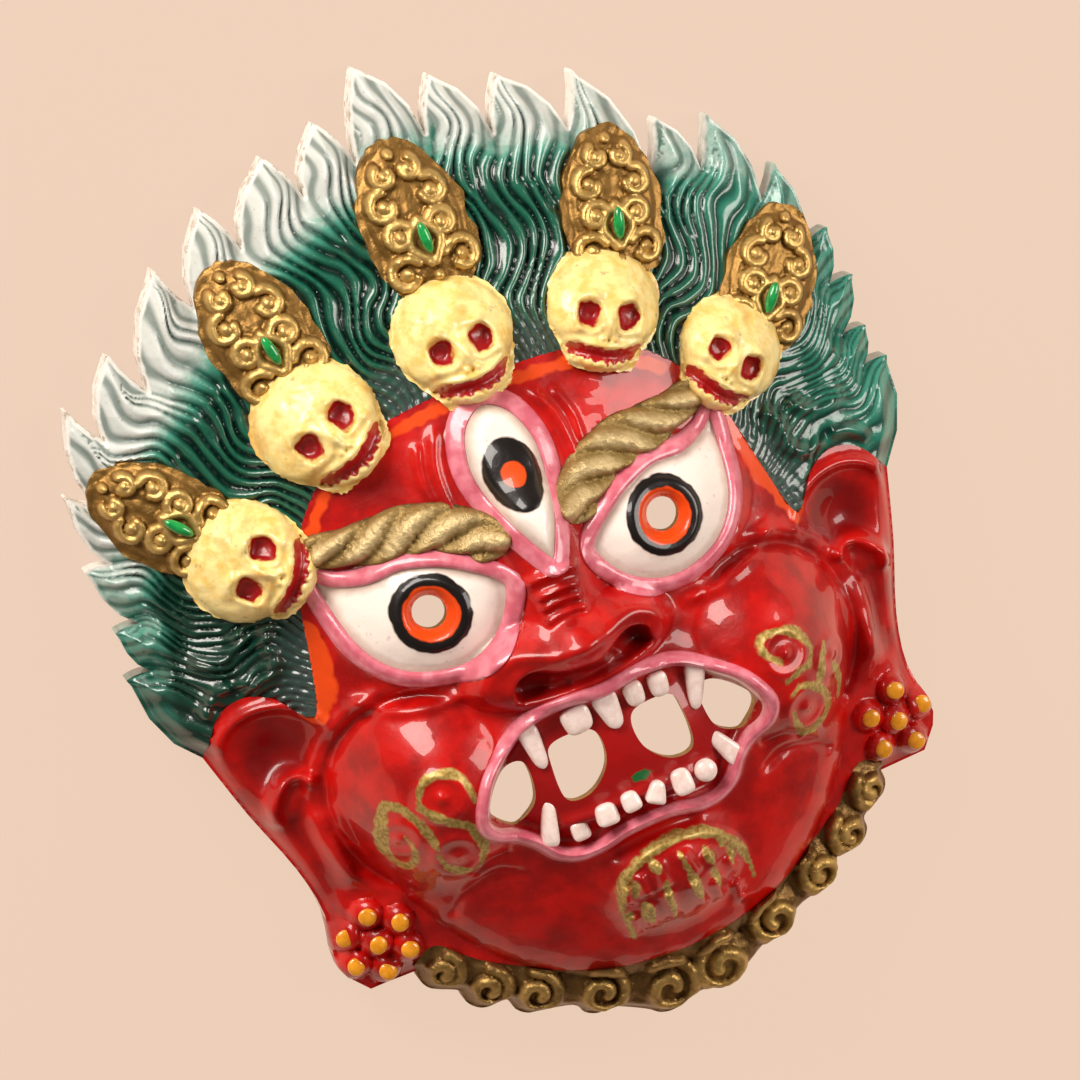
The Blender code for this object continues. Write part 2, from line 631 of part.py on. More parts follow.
def mask_mesh():
    edge = outline()
    rim = rim_loop(edge)
    openings = holes()

    def front(x, y):
        return front_height(x, y, edge)

    def back(x, y):
        return back_height(x, y, edge, rim)

    mesh = bmesh.new()
    add_sheet(mesh, *fitted_sheet([edge] + openings, front, FIRST_SPACING, FRONT_ERROR, REFINEMENTS,
                                  SMALLEST_STEP))
    add_sheet(mesh, *fitted_sheet([rim] + openings, back, BACK_SPACING, BACK_ERROR, BACK_REFINEMENTS,
                                  SMALLEST_BACK_STEP))
    spots, faces = triangulate([], [edge, rim])
    add_sheet(mesh, spots, faces, np.zeros(len(spots)))
    add_wall(mesh, edge, np.zeros(len(edge)), front(edge[:, 0], edge[:, 1]))
    for loop in openings:
        x, y = loop[:, 0], loop[:, 1]
        add_wall(mesh, loop, back(x, y), front(x, y))
    bmesh.ops.remove_doubles(mesh, verts=mesh.verts, dist=1e-3 * MM)
    bmesh.ops.recalc_face_normals(mesh, faces=mesh.faces)
    return mesh


def enamel(name, colour, roughness, metallic):
    material = bpy.data.materials.new(name)
    material.use_nodes = True
    shader = material.node_tree.nodes["Principled BSDF"]
    shader.inputs["Base Color"].default_value = (*colour, 1.0)
    shader.inputs["Roughness"].default_value = roughness
    shader.inputs["Metallic"].default_value = metallic
    return material


def build():
    for thing in list(bpy.data.objects):
        bpy.data.objects.remove(thing)
    carving = mask_mesh()
    mesh = bpy.data.meshes.new("mask")
    carving.to_mesh(mesh)
    carving.free()
    mesh.materials.append(enamel("red enamel", RED_ENAMEL, 0.25, 0.0))
    mask = bpy.data.objects.new("mask", mesh)
    bpy.context.scene.collection.objects.link(mask)


build()
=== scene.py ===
import math

import bpy
import numpy as np
from mathutils import Matrix, Vector
from mathutils.geometry import delaunay_2d_cdt


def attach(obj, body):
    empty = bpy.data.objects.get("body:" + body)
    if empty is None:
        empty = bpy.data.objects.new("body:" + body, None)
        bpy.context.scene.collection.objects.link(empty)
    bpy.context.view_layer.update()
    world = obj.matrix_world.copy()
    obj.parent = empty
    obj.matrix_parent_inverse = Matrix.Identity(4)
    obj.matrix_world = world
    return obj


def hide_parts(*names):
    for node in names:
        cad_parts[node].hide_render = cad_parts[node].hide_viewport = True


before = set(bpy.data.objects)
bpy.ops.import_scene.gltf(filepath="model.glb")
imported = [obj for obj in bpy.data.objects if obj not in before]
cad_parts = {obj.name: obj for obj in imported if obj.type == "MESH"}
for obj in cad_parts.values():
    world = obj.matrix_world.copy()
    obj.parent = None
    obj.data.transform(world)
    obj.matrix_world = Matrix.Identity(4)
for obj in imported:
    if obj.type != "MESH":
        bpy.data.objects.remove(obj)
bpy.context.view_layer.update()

# The casting in millimetres: +Z out of the face, +Y toward the crown, +X the viewer's right
MM = 0.001
LENGTH, WIDTH = 184.0, 151.2
WALL, THIN_WALL, WALL_REACH = 2.6, 1.9, 1.6
EDGE_THICKNESS, EDGE_ROUND = 6.5, 1.0
RIM_WIDTH, RIM_POINTS = 3.0, 48

# How far apart a skin's points are, closer where the carving is finer
MANE_SPACING, FACE_SPACING, COLLAR_SPACING, SKULL_SPACING, CREST_SPACING = 0.36, 0.46, 0.40, 0.34, 0.33
BACK_SPACING, SMALL_BACK_SPACING, EDGE_SPACING = 3.2, 2.5, 0.5

MANE_HEIGHT, MANE_INNER, MANE_MIDDLE = 21.0, 0.52, (0.0, -14.0)
FACE_PLACE, FACE_HALF_WIDTH, FACE_HALF_LENGTH = (0.0, -20.0), 50.0, 62.0
FACE_EDGE_HEIGHT, FACE_RISE = 13.0, 21.0

FLAME_TIPS = (
    (75.6, 5.9), (73.9, 12.6), (75.0, 22.2), (73.7, 32.1), (68.9, 46.6), (60.5, 59.9), (51.5, 62.8),
    (40.4, 76.7), (27.4, 81.2), (16.0, 85.8), (3.7, 92.0), (-6.8, 85.6), (-17.8, 83.5), (-31.8, 79.2),
    (-43.5, 72.3), (-56.9, 61.3), (-67.6, 54.8), (-73.5, 40.2), (-75.1, 26.3), (-74.2, 14.0),
    (-75.6, 5.2),
)
NOTCH_INWARD, NOTCH_DROP, NOTCH_LOW = 4.6, 9.5, 22.0
LONG_SIDE_BELLY, SHORT_SIDE_BELLY, TIP_WIDTH = 0.10, 0.05, 1.5
EAR_EDGE = ((68.2, -13.4), (64.5, -26.5), (60.1, -39.4), (58.5, -49.3), (59.9, -59.4), (55.8, -65.5))
LOCKS_A_FLAME, LOCK_HEIGHT, LOCK_SWAY, LOCK_WAVE = 5, 1.25, 2.2, 23.0
ROOT_LOCK_WIDTH, ROOT_REACH = 2.3, 64.0
COLLAR_SCROLLS = ((43.0, -66.9, 4.0), (36.4, -73.0, 4.5), (28.6, -77.2, 4.8), (17.4, -81.6, 5.4),
                  (5.4, -85.8, 6.2))

# Where the hair meets the face, and the face the collar, on the viewer's right
HAIRLINE = ((68.2, -13.4), (63.6, -6.6), (58.0, -4.4), (52.6, -6.6), (47.6, -12.0), (44.6, -2.0),
            (42.6, 8.0), (40.0, 16.0), (36.0, 23.0), (29.0, 29.5), (20.0, 33.0), (10.0, 34.6),
            (0.0, 35.0))
COLLAR_TOP = ((48.6, -65.2), (42.6, -61.0), (36.0, -66.6), (24.5, -73.2), (12.5, -77.2), (0.0, -78.4))

SKULLS = ((-48.0, 18.6, 51.0, 1.02), (-27.4, 37.4, 25.0, 1.04), (0.6, 42.6, 0.0, 1.0),
          (27.6, 36.9, -28.0, 0.97), (46.6, 20.0, -54.0, 0.92))
SKULL_RADIUS, SKULL_HEIGHT = 10.9, 7.6
CRESTS = ((-59.5, 32.0, 42.0, 0.95), (-31.0, 56.4, 12.0, 1.0), (2.6, 64.8, 0.0, 1.03),
          (37.2, 53.4, -17.0, 0.98), (59.8, 29.0, -38.0, 0.95))
CREST_HALF_WIDTH, CREST_HALF_LENGTH = 9.4, 13.8

EYE_PLACE, PUPIL_HOLE_RADIUS, IRIS_RADIUS, BLACK_RADIUS = (22.6, 0.6), 3.0, 5.0, 7.2
IRIS_DEPTH = 3.0
EYE_LOOP = ((40.0, 14.2), (36.0, 11.2), (30.7, 10.2), (24.5, 10.8), (18.3, 9.3), (13.3, 6.7),
            (8.6, 3.0), (7.3, -0.6), (10.7, -6.8), (16.3, -10.7), (22.2, -11.7), (28.6, -10.3),
            (33.5, -7.3), (37.2, -2.3), (39.2, 4.8))
THIRD_EYE_LOOP = ((0.0, 32.2), (5.4, 28.9), (7.9, 21.4), (6.4, 12.4), (2.8, 4.0), (0.3, 1.0),
                  (-2.2, 3.8), (-6.2, 12.2), (-8.0, 21.0), (-5.6, 28.8))
THIRD_BALL = (0.0, 18.4, 5.1, 6.4)
LIP_HALF = ((0.0, -23.2), (6.0, -22.7), (11.5, -23.1), (16.0, -24.6), (20.5, -27.9), (25.0, -31.6),
            (28.0, -37.6), (26.6, -41.4), (22.6, -43.8), (19.6, -46.4), (17.2, -49.6), (13.4, -51.4),
            (9.0, -51.2), (5.0, -49.9), (0.0, -49.5))
INNER_HOLE = ((3.0, -31.6), (5.0, -29.1), (11.4, -29.5), (12.8, -33.0), (12.4, -40.2), (8.0, -40.6),
              (3.9, -36.6))
OUTER_HOLE = ((17.0, -31.2), (21.6, -31.6), (25.9, -36.8), (22.2, -41.8), (17.5, -38.6))

LID_WIDTH, LID_HEIGHT, THIRD_LID_WIDTH, THIRD_LID_HEIGHT = 3.1, 1.1, 3.2, 1.0
LIP_WIDTH, LIP_HEIGHT, CORD_SPACING = 2.9, 1.5, 0.5
BROW_WIDTH, BROW_NARROWING, BROW_HEIGHT, BROW_SPACING = 8.6, 2.6, 3.6, 0.35
BROW_STRANDS, BROW_TURNS, BROW_GROOVE = 4, 5, 0.55
BROW_PATH = ((6.6, 6.0), (10.0, 10.8), (16.5, 14.4), (22.0, 15.4), (28.0, 15.4), (34.0, 16.2),
             (39.0, 17.0))
TOOTH_THICKNESS, TOOTH_PROUD = 3.4, 0.25
GEM_PLACE, GEM_SIZE, GEM_GROUND, GEM_PROUD = (0.0, -3.6), (4.9, 6.2, 2.6), 3.7, 0.5
DOT_SIZE, DOT_PROUD = (3.8, 3.4, 1.6), 0.1


def ease(share):
    """A smooth step from 0 to 1."""
    share = np.clip(share, 0.0, 1.0)
    return share * share * (3.0 - 2.0 * share)


def higher(a, b, blend=2.0):
    """The higher of two surfaces, with the crease between them filled softly."""
    return 0.5 * (a + b + np.sqrt((a - b) ** 2 + blend * blend)) - 0.25 * blend


def curve(points, steps, closed=False):
    """Points on a smooth curve through the named points."""
    points = [np.array(point, float) for point in points]
    if closed:
        ring = [points[-1]] + points + points[:2]
    else:
        ring = [2 * points[0] - points[1]] + points + [2 * points[-1] - points[-2]]
    path = []
    for before, start, end, after in zip(ring, ring[1:], ring[2:], ring[3:]):
        for step in range(steps):
            t = step / steps
            path.append(0.5 * (2 * start + (end - before) * t
                               + (2 * before - 5 * start + 4 * end - after) * t * t
                               + (3 * start - before - 3 * end + after) * t ** 3))
    if not closed:
        path.append(points[-1])
    return np.array(path)


def spaced(path, spacing, closed=False):
    """The same path with even steps."""
    path = np.asarray(path, float)
    if closed:
        path = np.vstack([path, path[:1]])
    run = np.concatenate([[0.0], np.cumsum(np.linalg.norm(np.diff(path, axis=0), axis=1))])
    count = max(2, int(round(run[-1] / spacing)))
    places = np.linspace(0.0, run[-1], count + 1)
    even = np.stack([np.interp(places, run, path[:, axis]) for axis in range(path.shape[1])], 1)
    return even[:-1] if closed else even


def mirrored(points, side=-1):
    """The points for one side of the mask; -1 is the viewer's left."""
    return [(side * point[0], *point[1:]) for point in points]


def local(x, y, place, turn=0.0):
    """From the mask's axes to a piece's own two."""
    angle = math.radians(turn)
    dx, dy = x - place[0], y - place[1]
    return dx * math.cos(angle) + dy * math.sin(angle), dy * math.cos(angle) - dx * math.sin(angle)


def placed(a, b, place, turn=0.0):
    """From a piece's own two axes back to the mask's."""
    angle = math.radians(turn)
    return (place[0] + a * math.cos(angle) - b * math.sin(angle),
            place[1] + a * math.sin(angle) + b * math.cos(angle))


def egg(x, y, oval):
    """Reach from an oval's middle, 1 on its edge; the oval is its place and half sizes."""
    return np.hypot((x - oval[0]) / oval[2], (y - oval[1]) / oval[3])


def boss(reach, height, fullness=0.8):
    """A swelling that ends where reach is 1."""
    return height * np.clip(1.0 - reach * reach, 0.0, 1.0) ** fullness


def hill(reach, height):
    """A swelling with a soft foot."""
    return height * np.exp(-2.2 * reach * reach)


def along(x, y, path):
    """Distance from a path, and the share of its length where it is nearest."""
    path = np.asarray(path, float)
    steps = np.diff(path, axis=0)
    lengths = np.hypot(steps[:, 0], steps[:, 1])
    nearest = np.full(np.shape(x), 1e9)
    share = np.zeros(np.shape(x))
    run = 0.0
    for start, step, length in zip(path, steps, lengths):
        t = np.clip(((x - start[0]) * step[0] + (y - start[1]) * step[1]) / length ** 2, 0.0, 1.0)
        gap = np.hypot(x - start[0] - t * step[0], y - start[1] - t * step[1])
        closer = gap < nearest
        nearest = np.where(closer, gap, nearest)
        share = np.where(closer, (run + t * length) / lengths.sum(), share)
        run += length
    return nearest, share


def ridge(x, y, path, width, height):
    """A raised fold along a path; a height below zero makes a groove."""
    path = np.asarray(path, float)
    z = np.zeros(np.shape(x))
    near = ((x > path[:, 0].min() - 2 * width) & (x < path[:, 0].max() + 2 * width)
            & (y > path[:, 1].min() - 2 * width) & (y < path[:, 1].max() + 2 * width))
    gap, share = along(x[near], y[near], path)
    ends = ease(share / 0.15) * ease((1.0 - share) / 0.15)
    z[near] = hill(gap / width, height) * ends
    return z


def inside(x, y, loop):
    """Whether each point lies inside a closed loop."""
    within = np.zeros(np.shape(x), bool)
    for (ax, ay), (bx, by) in zip(loop, np.roll(loop, -1, axis=0)):
        if ay == by:
            continue
        crosses = (ay > y) != (by > y)
        within ^= crosses & (x < ax + (y - ay) * (bx - ax) / (by - ay))
    return within


def signed(x, y, loop):
    """Distance from a loop, below zero inside it."""
    gap, _ = along(x, y, np.vstack([loop, loop[:1]]))
    return np.where(inside(x, y, loop), -gap, gap)


def ripple(x, y, size, seed):
    """Soft unevenness between -1 and 1, with bumps of about one size."""
    draw = np.random.default_rng(seed)
    z = np.zeros(np.shape(x))
    for _ in range(7):
        heading, phase = draw.uniform(0, 2 * math.pi, 2)
        wave = draw.uniform(0.7, 1.5) * 2 * math.pi / size
        z = z + np.sin(wave * (x * math.cos(heading) + y * math.sin(heading)) + phase)
    return z / 4.0


def notch_beside(tip, side):
    drop = NOTCH_DROP * ease((tip[1] - NOTCH_LOW) / (LENGTH / 4))
    return np.array((tip[0] - side * NOTCH_INWARD, tip[1] - drop))


def flame_side(start, end, belly):
    chord = end - start
    outward = belly * np.array((chord[1], -chord[0]))
    outward *= math.copysign(1.0, outward @ (start + end))
    return [start + 0.35 * chord + outward, start + 0.7 * chord + outward]


def flame_notches():
    tips = [np.array(tip) for tip in FLAME_TIPS]
    top = max(range(len(tips)), key=lambda index: tips[index][1])
    notches = [np.array(EAR_EDGE[0])]
    for index in range(1, len(tips)):
        right = index <= top
        notches.append(notch_beside(tips[index - 1 if right else index], 1 if right else -1))
    notches.append(np.array((-EAR_EDGE[0][0], EAR_EDGE[0][1])))
    return tips, top, notches


def flame_outline():
    """From the right ear over the crown to the left ear. Each flame's long side is its outer one."""
    tips, top, notches = flame_notches()
    points = []
    for index, (before, tip, after) in enumerate(zip(notches, tips, notches[1:])):
        inward = (before + after) / 2 - tip
        shoulder = tip + inward * TIP_WIDTH / (2 * np.linalg.norm(inward))
        across = (after - before) * TIP_WIDTH / (2 * np.linalg.norm(after - before))
        bellies = (LONG_SIDE_BELLY, SHORT_SIDE_BELLY)
        first, last = bellies if index <= top else reversed(bellies)
        points += [before] + flame_side(before, shoulder - across, first)
        points += [shoulder - across, tip, shoulder + across]
        points += flame_side(shoulder + across, after, last)
    points.append(notches[-1])
    return np.array(points)


def collar_outline():
    """The lobed lower edge, from the left ear round to the right ear."""
    lobes = []
    for x, y, radius in COLLAR_SCROLLS:
        heading = math.atan2(y + LENGTH / 4, x)
        arc = [heading + turn for turn in (0.75, 0.25, -0.25, -0.75)]
        lobes += [(x + radius * math.cos(angle), y + radius * math.sin(angle)) for angle in arc]
    lowest = min(y for _, y in lobes)
    lobes = [(x, y * LENGTH / -2 / lowest) if y < -LENGTH * 0.4 else (x, y) for x, y in lobes]
    return np.array([(-x, y) for x, y in lobes] + lobes[::-1])


EAR_CURVE = curve(EAR_EDGE, 3)
FLAMES = flame_outline()
LOBES = collar_outline()
EDGE = np.vstack([FLAMES, (EAR_CURVE * (-1, 1))[1:], LOBES, EAR_CURVE[:0:-1]])
HAIR_CURVE = curve(HAIRLINE, 4)
HAIR_CURVE = np.vstack([HAIR_CURVE, (HAIR_CURVE * (-1, 1))[-2::-1]])
COLLAR_CURVE = curve(COLLAR_TOP, 4)
COLLAR_CURVE = np.vstack([COLLAR_CURVE, (COLLAR_CURVE * (-1, 1))[-2::-1]])
LIP_LOOP = curve(list(LIP_HALF) + mirrored(LIP_HALF[-2:0:-1]), 4, closed=True)
EYE_LOOPS = [curve(mirrored(EYE_LOOP, side), 4, closed=True) for side in (-1, 1)]
THIRD_LOOP = curve(THIRD_EYE_LOOP, 4, closed=True)


def rim_loop():
    """The inner edge of the flat rim behind, a smooth ring inside the notches."""
    heading = np.arctan2(EDGE[:, 1], EDGE[:, 0])
    reach = np.hypot(EDGE[:, 0], EDGE[:, 1])
    loop = []
    for step in range(RIM_POINTS):
        angle = 2 * math.pi * step / RIM_POINTS
        apart = np.abs((heading - angle + math.pi) % (2 * math.pi) - math.pi)
        nearest = reach[apart < 2.2 * math.pi / RIM_POINTS].min() - RIM_WIDTH
        loop.append((nearest * math.cos(angle), nearest * math.sin(angle)))
    loop = np.array(loop)
    return 0.5 * loop + 0.25 * (np.roll(loop, 1, axis=0) + np.roll(loop, -1, axis=0))


RIM = rim_loop()


def base_height(x, y):
    """The mane's cone and the face's dome on it."""
    reach = np.hypot(x / (WIDTH / 2), y / (LENGTH / 2))
    slope = (MANE_HEIGHT - EDGE_THICKNESS) / (1.0 - MANE_INNER)
    mane = EDGE_THICKNESS + slope * np.clip(1.0 - reach, 0.0, 1.0)
    face = np.hypot((x - FACE_PLACE[0]) / FACE_HALF_WIDTH, (y - FACE_PLACE[1]) / FACE_HALF_LENGTH)
    dome = FACE_EDGE_HEIGHT + boss(face, FACE_RISE, 0.6) - 8.0 * ease((face - 1.0) / 0.3)
    return higher(mane, dome)


def big_forms(x, y):
    """Chin, muzzle, nose, cheeks and eyeballs."""
    z = boss(egg(x, y, (0.6, -61.0, 17.0, 14.0)), 9.5, 1.2)
    z = higher(z, boss(egg(x, y, (0.0, -36.0, 31.0, 21.0)), 10.0, 1.1), 1.5)
    nose = 6.5 * ease((12.5 - along(x, y, ((0.0, 8.0), (-0.6, -3.0), (-1.4, -12.0)))[0]) / 9.5)
    nose = higher(nose, boss(egg(x, y, (-2.4, -15.0, 20.6, 9.2)), 10.2, 0.5), 1.5)
    nose = higher(nose, boss(egg(x, y, (-0.8, -12.6, 8.4, 6.4)), 11.6, 0.75), 1.5)
    for side in (-1, 1):
        z = higher(z, boss(egg(x, y, (side * 34.0, -32.0, 17.0, 20.0)), 11.5, 1.0), 1.2)
        z = higher(z, boss(egg(x, y, (side * 23.4, 0.2, 18.0, 13.6)), 7.6, 0.8), 1.2)
    return higher(z, nose, 1.2)


# The nose's folded rim and the recess under it, broader at the viewer's left
NOSE_BRIM = curve((
    (-18.4, -22.0), (-20.0, -17.0), (-17.8, -12.8), (-13.2, -11.2), (-9.4, -12.0), (-5.6, -13.5),
    (-2.4, -13.8), (1.0, -13.7), (4.2, -13.0), (7.4, -11.9), (11.0, -11.8), (14.0, -13.8),
    (15.2, -17.4), (14.6, -21.2)), 4)
NOSE_RECESS = curve((
    (-15.0, -17.9), (-14.2, -15.9), (-11.7, -14.5), (-8.6, -14.6), (-5.0, -16.0), (-1.6, -16.6),
    (1.1, -16.8), (3.2, -16.0), (5.0, -14.8), (7.5, -13.9), (9.8, -14.0), (11.8, -15.2),
    (12.6, -17.4), (12.0, -19.8), (0.0, -21.4), (-13.6, -20.9)), 3, closed=True)
# Each wrinkle's place above the nose and its half length
WRINKLES = ((0.4, 5.6), (-2.8, 4.6), (-5.0, 4.4), (-7.2, 4.6))

# Folds on both sides, given for the viewer's right: points, width, and a height below zero for a crease
FACE_FOLDS = (
    (((11.0, 7.0), (12.2, 16.0), (11.8, 24.0), (8.6, 31.0)), 1.6, 1.2),
    (((14.4, 17.0), (14.8, 23.0), (13.0, 29.0)), 1.3, 0.8),
    (((19.0, -15.4), (27.0, -15.6), (36.0, -13.6), (43.0, -9.0)), 1.8, 1.2),
    (((22.0, -52.0), (29.0, -49.6), (35.0, -52.0), (39.0, -57.0)), 1.5, -0.9),
    (((24.0, -46.4), (29.0, -46.2), (33.0, -48.6)), 1.6, -1.2),
)
EAR_FOLDS = (
    (((45.2, -18.0), (47.4, -11.6), (52.6, -7.8), (59.0, -7.4), (64.4, -10.4), (66.0, -15.5),
      (64.4, -24.0), (61.0, -33.0), (58.4, -42.0), (57.6, -50.0)), 1.8, 1.9),
    (((51.6, -24.6), (53.6, -21.6), (57.0, -22.0), (60.4, -26.0), (61.4, -31.0)), 2.0, 3.0),
    (((49.0, -16.0), (49.6, -26.0), (51.6, -36.0), (53.2, -47.0)), 3.2, 1.5),
)
EAR_CHANNEL = ((57.4, -30.0), (56.6, -37.0), (55.6, -44.0))
# The round swellings inside the cheek's scrolls: place and radius
CHEEK_CURLS = ((33.4, -30.4, 4.0), (34.2, -42.6, 3.9), (42.6, -36.4, 3.2))
GUMS = (((-16.0, -26.4), (-8.0, -25.4), (0.0, -25.2), (8.0, -25.4), (16.0, -27.0)),
        ((-18.0, -44.6), (-9.0, -45.2), (0.0, -44.4), (9.0, -45.2), (18.0, -45.2)))
GUM_WIDTH, GUM_HEIGHT = 2.2, 1.6


def folds(x, y, rows, side):
    """The rows of folds on one side."""
    return sum(ridge(x, y, curve(mirrored(points, side), 4), width, height)
               for points, width, height in rows)


def face_folds(x, y):
    """Creases and folds that the brush can't hide."""
    z = np.zeros(np.shape(x))
    for fold_y, reach in WRINKLES:
        fold = curve(((-0.9 - reach, fold_y - 0.8), (-3.0, fold_y), (1.0, fold_y + 0.1),
                      (-0.9 + reach, fold_y - 0.7)), 4)
        z += ridge(x, y, fold, 1.25, 1.5)
    z += ridge(x, y, NOSE_BRIM, 2.8, 1.8) + hill(egg(x, y, (-0.8, -12.6, 5.6, 3.6)), 0.5)
    z -= 3.8 * ease(-signed(x, y, NOSE_RECESS) / 2.3)
    z += ridge(x, y, ((-5.4, -19.6), (-1.0, -19.0), (4.4, -18.2)), 1.3, 0.9)
    for side, nostril in ((-1, (-11.0, -17.6)), (1, (8.9, -16.9))):
        z -= boss(egg(x, y, (*nostril, 3.4, 2.7)), 2.2)
        groove = [(side * (34.0 + 17.4 * math.cos(angle)), -32.0 + 19.4 * math.sin(angle))
                  for angle in np.linspace(2.3, -1.25, 16)]
        z += ridge(x, y, groove, 1.5, -1.5)
        outer = [(side * (34.0 + 20.2 * math.cos(angle)), -32.0 + 22.0 * math.sin(angle))
                 for angle in np.linspace(1.7, -0.9, 14)]
        z += ridge(x, y, outer, 1.5, 0.9)
        for cx, cy, size in CHEEK_CURLS:
            reach = np.hypot(x - side * cx, y - cy)
            z += hill((reach - size) / 1.5, 0.7) + hill(reach / 1.6, 0.9)
        z += folds(x, y, FACE_FOLDS, side)
    z += hill(egg(x, y, (37.6, -55.4, 1.5, 1.2)), 0.9)
    z += ridge(x, y, curve(((-10.0, -54.0), (0.0, -52.6), (10.0, -53.6)), 4), 2.2, -1.4)
    return z


def ear_forms(x, y):
    """The rolled rim, the bowl, the inner nub and the channel down to the lobe."""
    z = np.zeros(np.shape(x))
    for side in (-1, 1):
        z += folds(x, y, EAR_FOLDS, side)
        z -= hill(egg(x, y, (side * 55.6, -16.8, 9.8, 9.0)), 4.4)
        z -= hill(egg(x, y, (side * 53.8, -27.6, 3.2, 3.6)), 1.6)
        z -= hill(along(x, y, mirrored(EAR_CHANNEL, side))[0] / 3.2, 1.5)
    return z


EARRING_PLACE, BOSS_SPACING, BOSS_RADIUS = (52.0, -56.6), 5.8, 3.1
# The viewer's left cluster has six bosses round the middle one, the right has five
EARRINGS = {side: [(side * EARRING_PLACE[0], EARRING_PLACE[1])]
            + [(side * EARRING_PLACE[0] + BOSS_SPACING * math.cos(angle),
                EARRING_PLACE[1] + BOSS_SPACING * math.sin(angle))
               for angle in np.radians(np.arange(count) * 360 / count + start)]
            for side, count, start in ((-1, 6, 30), (1, 5, 4))}


def earring_forms(x, y):
    """Round bosses close together on the lobe."""
    z = np.zeros(np.shape(x))
    for places in EARRINGS.values():
        bosses = [boss(np.hypot(x - cx, y - cy) / BOSS_RADIUS, 2.5, 0.55) for cx, cy in places]
        z += np.maximum.reduce(bosses) + hill(egg(x, y, (*places[0], 9.0, 9.0)), 1.2)
    return z


STROKE_ARCH = ((-9.4, -71.0), (-10.0, -65.0), (-8.4, -59.4), (-3.5, -55.4), (2.2, -54.5), (8.6, -56.0),
               (13.4, -60.8), (15.4, -67.0))


def chin_forms(x, y):
    """The tuft under the lip: an arch with rows of small locks in it."""
    z = np.zeros(np.shape(x))
    for column, lean in ((-8.4, -0.6), (-5.6, 0.3), (-1.9, 0.3), (3.0, 1.6), (7.6, 0.8), (11.6, 0.3)):
        bend = 0.045 * column ** 2
        for top, bottom in ((-56.4, -62.6), (-62.8, -70.4)):
            lock = ((column, top - bend), (column + 0.5 * lean, (top + bottom) / 2 - bend),
                    (column + lean, bottom - 0.3 * bend))
            z += ridge(x, y, curve(lock, 3), 1.7, 1.5)
    z += ridge(x, y, curve(STROKE_ARCH, 3), 1.6, 0.9)
    return z


def mouth_forms(x, y):
    """The sunk mouth with its gums."""
    gap = signed(x, y, LIP_LOOP)
    z = -3.4 * ease(-gap / 3.0)
    z += hill(gap / 1.6, 0.8)
    for path in GUMS:
        z += ridge(x, y, curve(path, 4), GUM_WIDTH, GUM_HEIGHT)
    return z


def eye_forms(x, y):
    """Eyeballs set a little behind their lids, with a funnel at each pupil."""
    z = np.zeros(np.shape(x))
    for side, loop in zip((-1, 1), EYE_LOOPS):
        z -= 0.9 * ease(-signed(x, y, loop) / 2.5)
        reach = np.hypot(x - side * EYE_PLACE[0], y - EYE_PLACE[1])
        z += hill((reach - 6.1) / 1.1, 0.45)
        z -= IRIS_DEPTH * ease((IRIS_RADIUS - reach) / (IRIS_RADIUS - PUPIL_HOLE_RADIUS + 0.3))
    third = signed(x, y, THIRD_LOOP)
    z += 3.6 * ease(-third / 5.0 + 0.1)
    z += boss(egg(x, y, THIRD_BALL), 1.5, 0.7)
    return z


# Where the hair folds over the top of each ear, given for the viewer's right
EAR_TOP_FOLDS = (
    (((47.6, 9.0), (50.6, 4.6), (50.4, 0.2), (54.0, -2.6), (58.6, -1.4)), 2.0, 1.7),
    (((53.4, 8.0), (56.4, 4.6), (60.6, 3.4), (65.0, 5.0)), 2.0, 1.7),
    (((58.6, -1.4), (63.0, -2.6), (66.4, -6.4)), 2.0, 1.7),
)


def lock_field(x, y):
    """For points of the mane: depth in from the flame's tip, heading bent by the sway, place across the
    flame from -1 to 1, and distance from the mane's middle."""
    tips, _, notches = flame_notches()
    hub = np.array(MANE_MIDDLE)

    def polar(points):
        heading = np.arctan2(points[:, 1] - hub[1], points[:, 0] - hub[0])
        heading = np.where(heading < -math.pi / 2, heading + 2 * math.pi, heading)
        return heading, np.hypot(*(points - hub).T)

    heading, dist = polar(np.stack([x, y], 1))
    notch_heading, _ = polar(np.array(notches))
    tip_heading, tip_reach = polar(np.array(tips))
    sway = (LOCK_SWAY * np.sin(2 * math.pi * dist / LOCK_WAVE + 1.3 * np.sin(2.0 * heading) + 0.6)
            + 0.35 * LOCK_SWAY * ripple(x, y, 16.0, 4)) / dist
    middle_reach = np.interp(heading, tip_heading, tip_reach)
    depth = middle_reach - dist
    bent = heading + sway * ease((depth - 1.0) / 9.0)
    index = np.clip(np.searchsorted(notch_heading, bent) - 1, 0, len(tips) - 1)
    low, high = notch_heading[index], notch_heading[index + 1]
    own_reach = tip_reach[index] + (middle_reach - tip_reach[index]) * ease((depth - 6.0) / 16.0)
    depth = np.where(depth < 22.0, own_reach - dist, depth)
    lean = 0.8 * ease(1.0 - depth / 20.0)
    centre = (low + high) / 2 + (tip_heading[index] - (low + high) / 2) * lean
    across = np.where(bent < centre, (bent - centre) / (centre - low),
                      (bent - centre) / (high - centre))
    return depth, bent, np.clip(across, -1.0, 1.0), dist


def strand_profile(phase):
    """Round-topped strands with a narrow groove between them."""
    return (0.5 + 0.5 * np.cos(2 * math.pi * phase)) ** 0.6


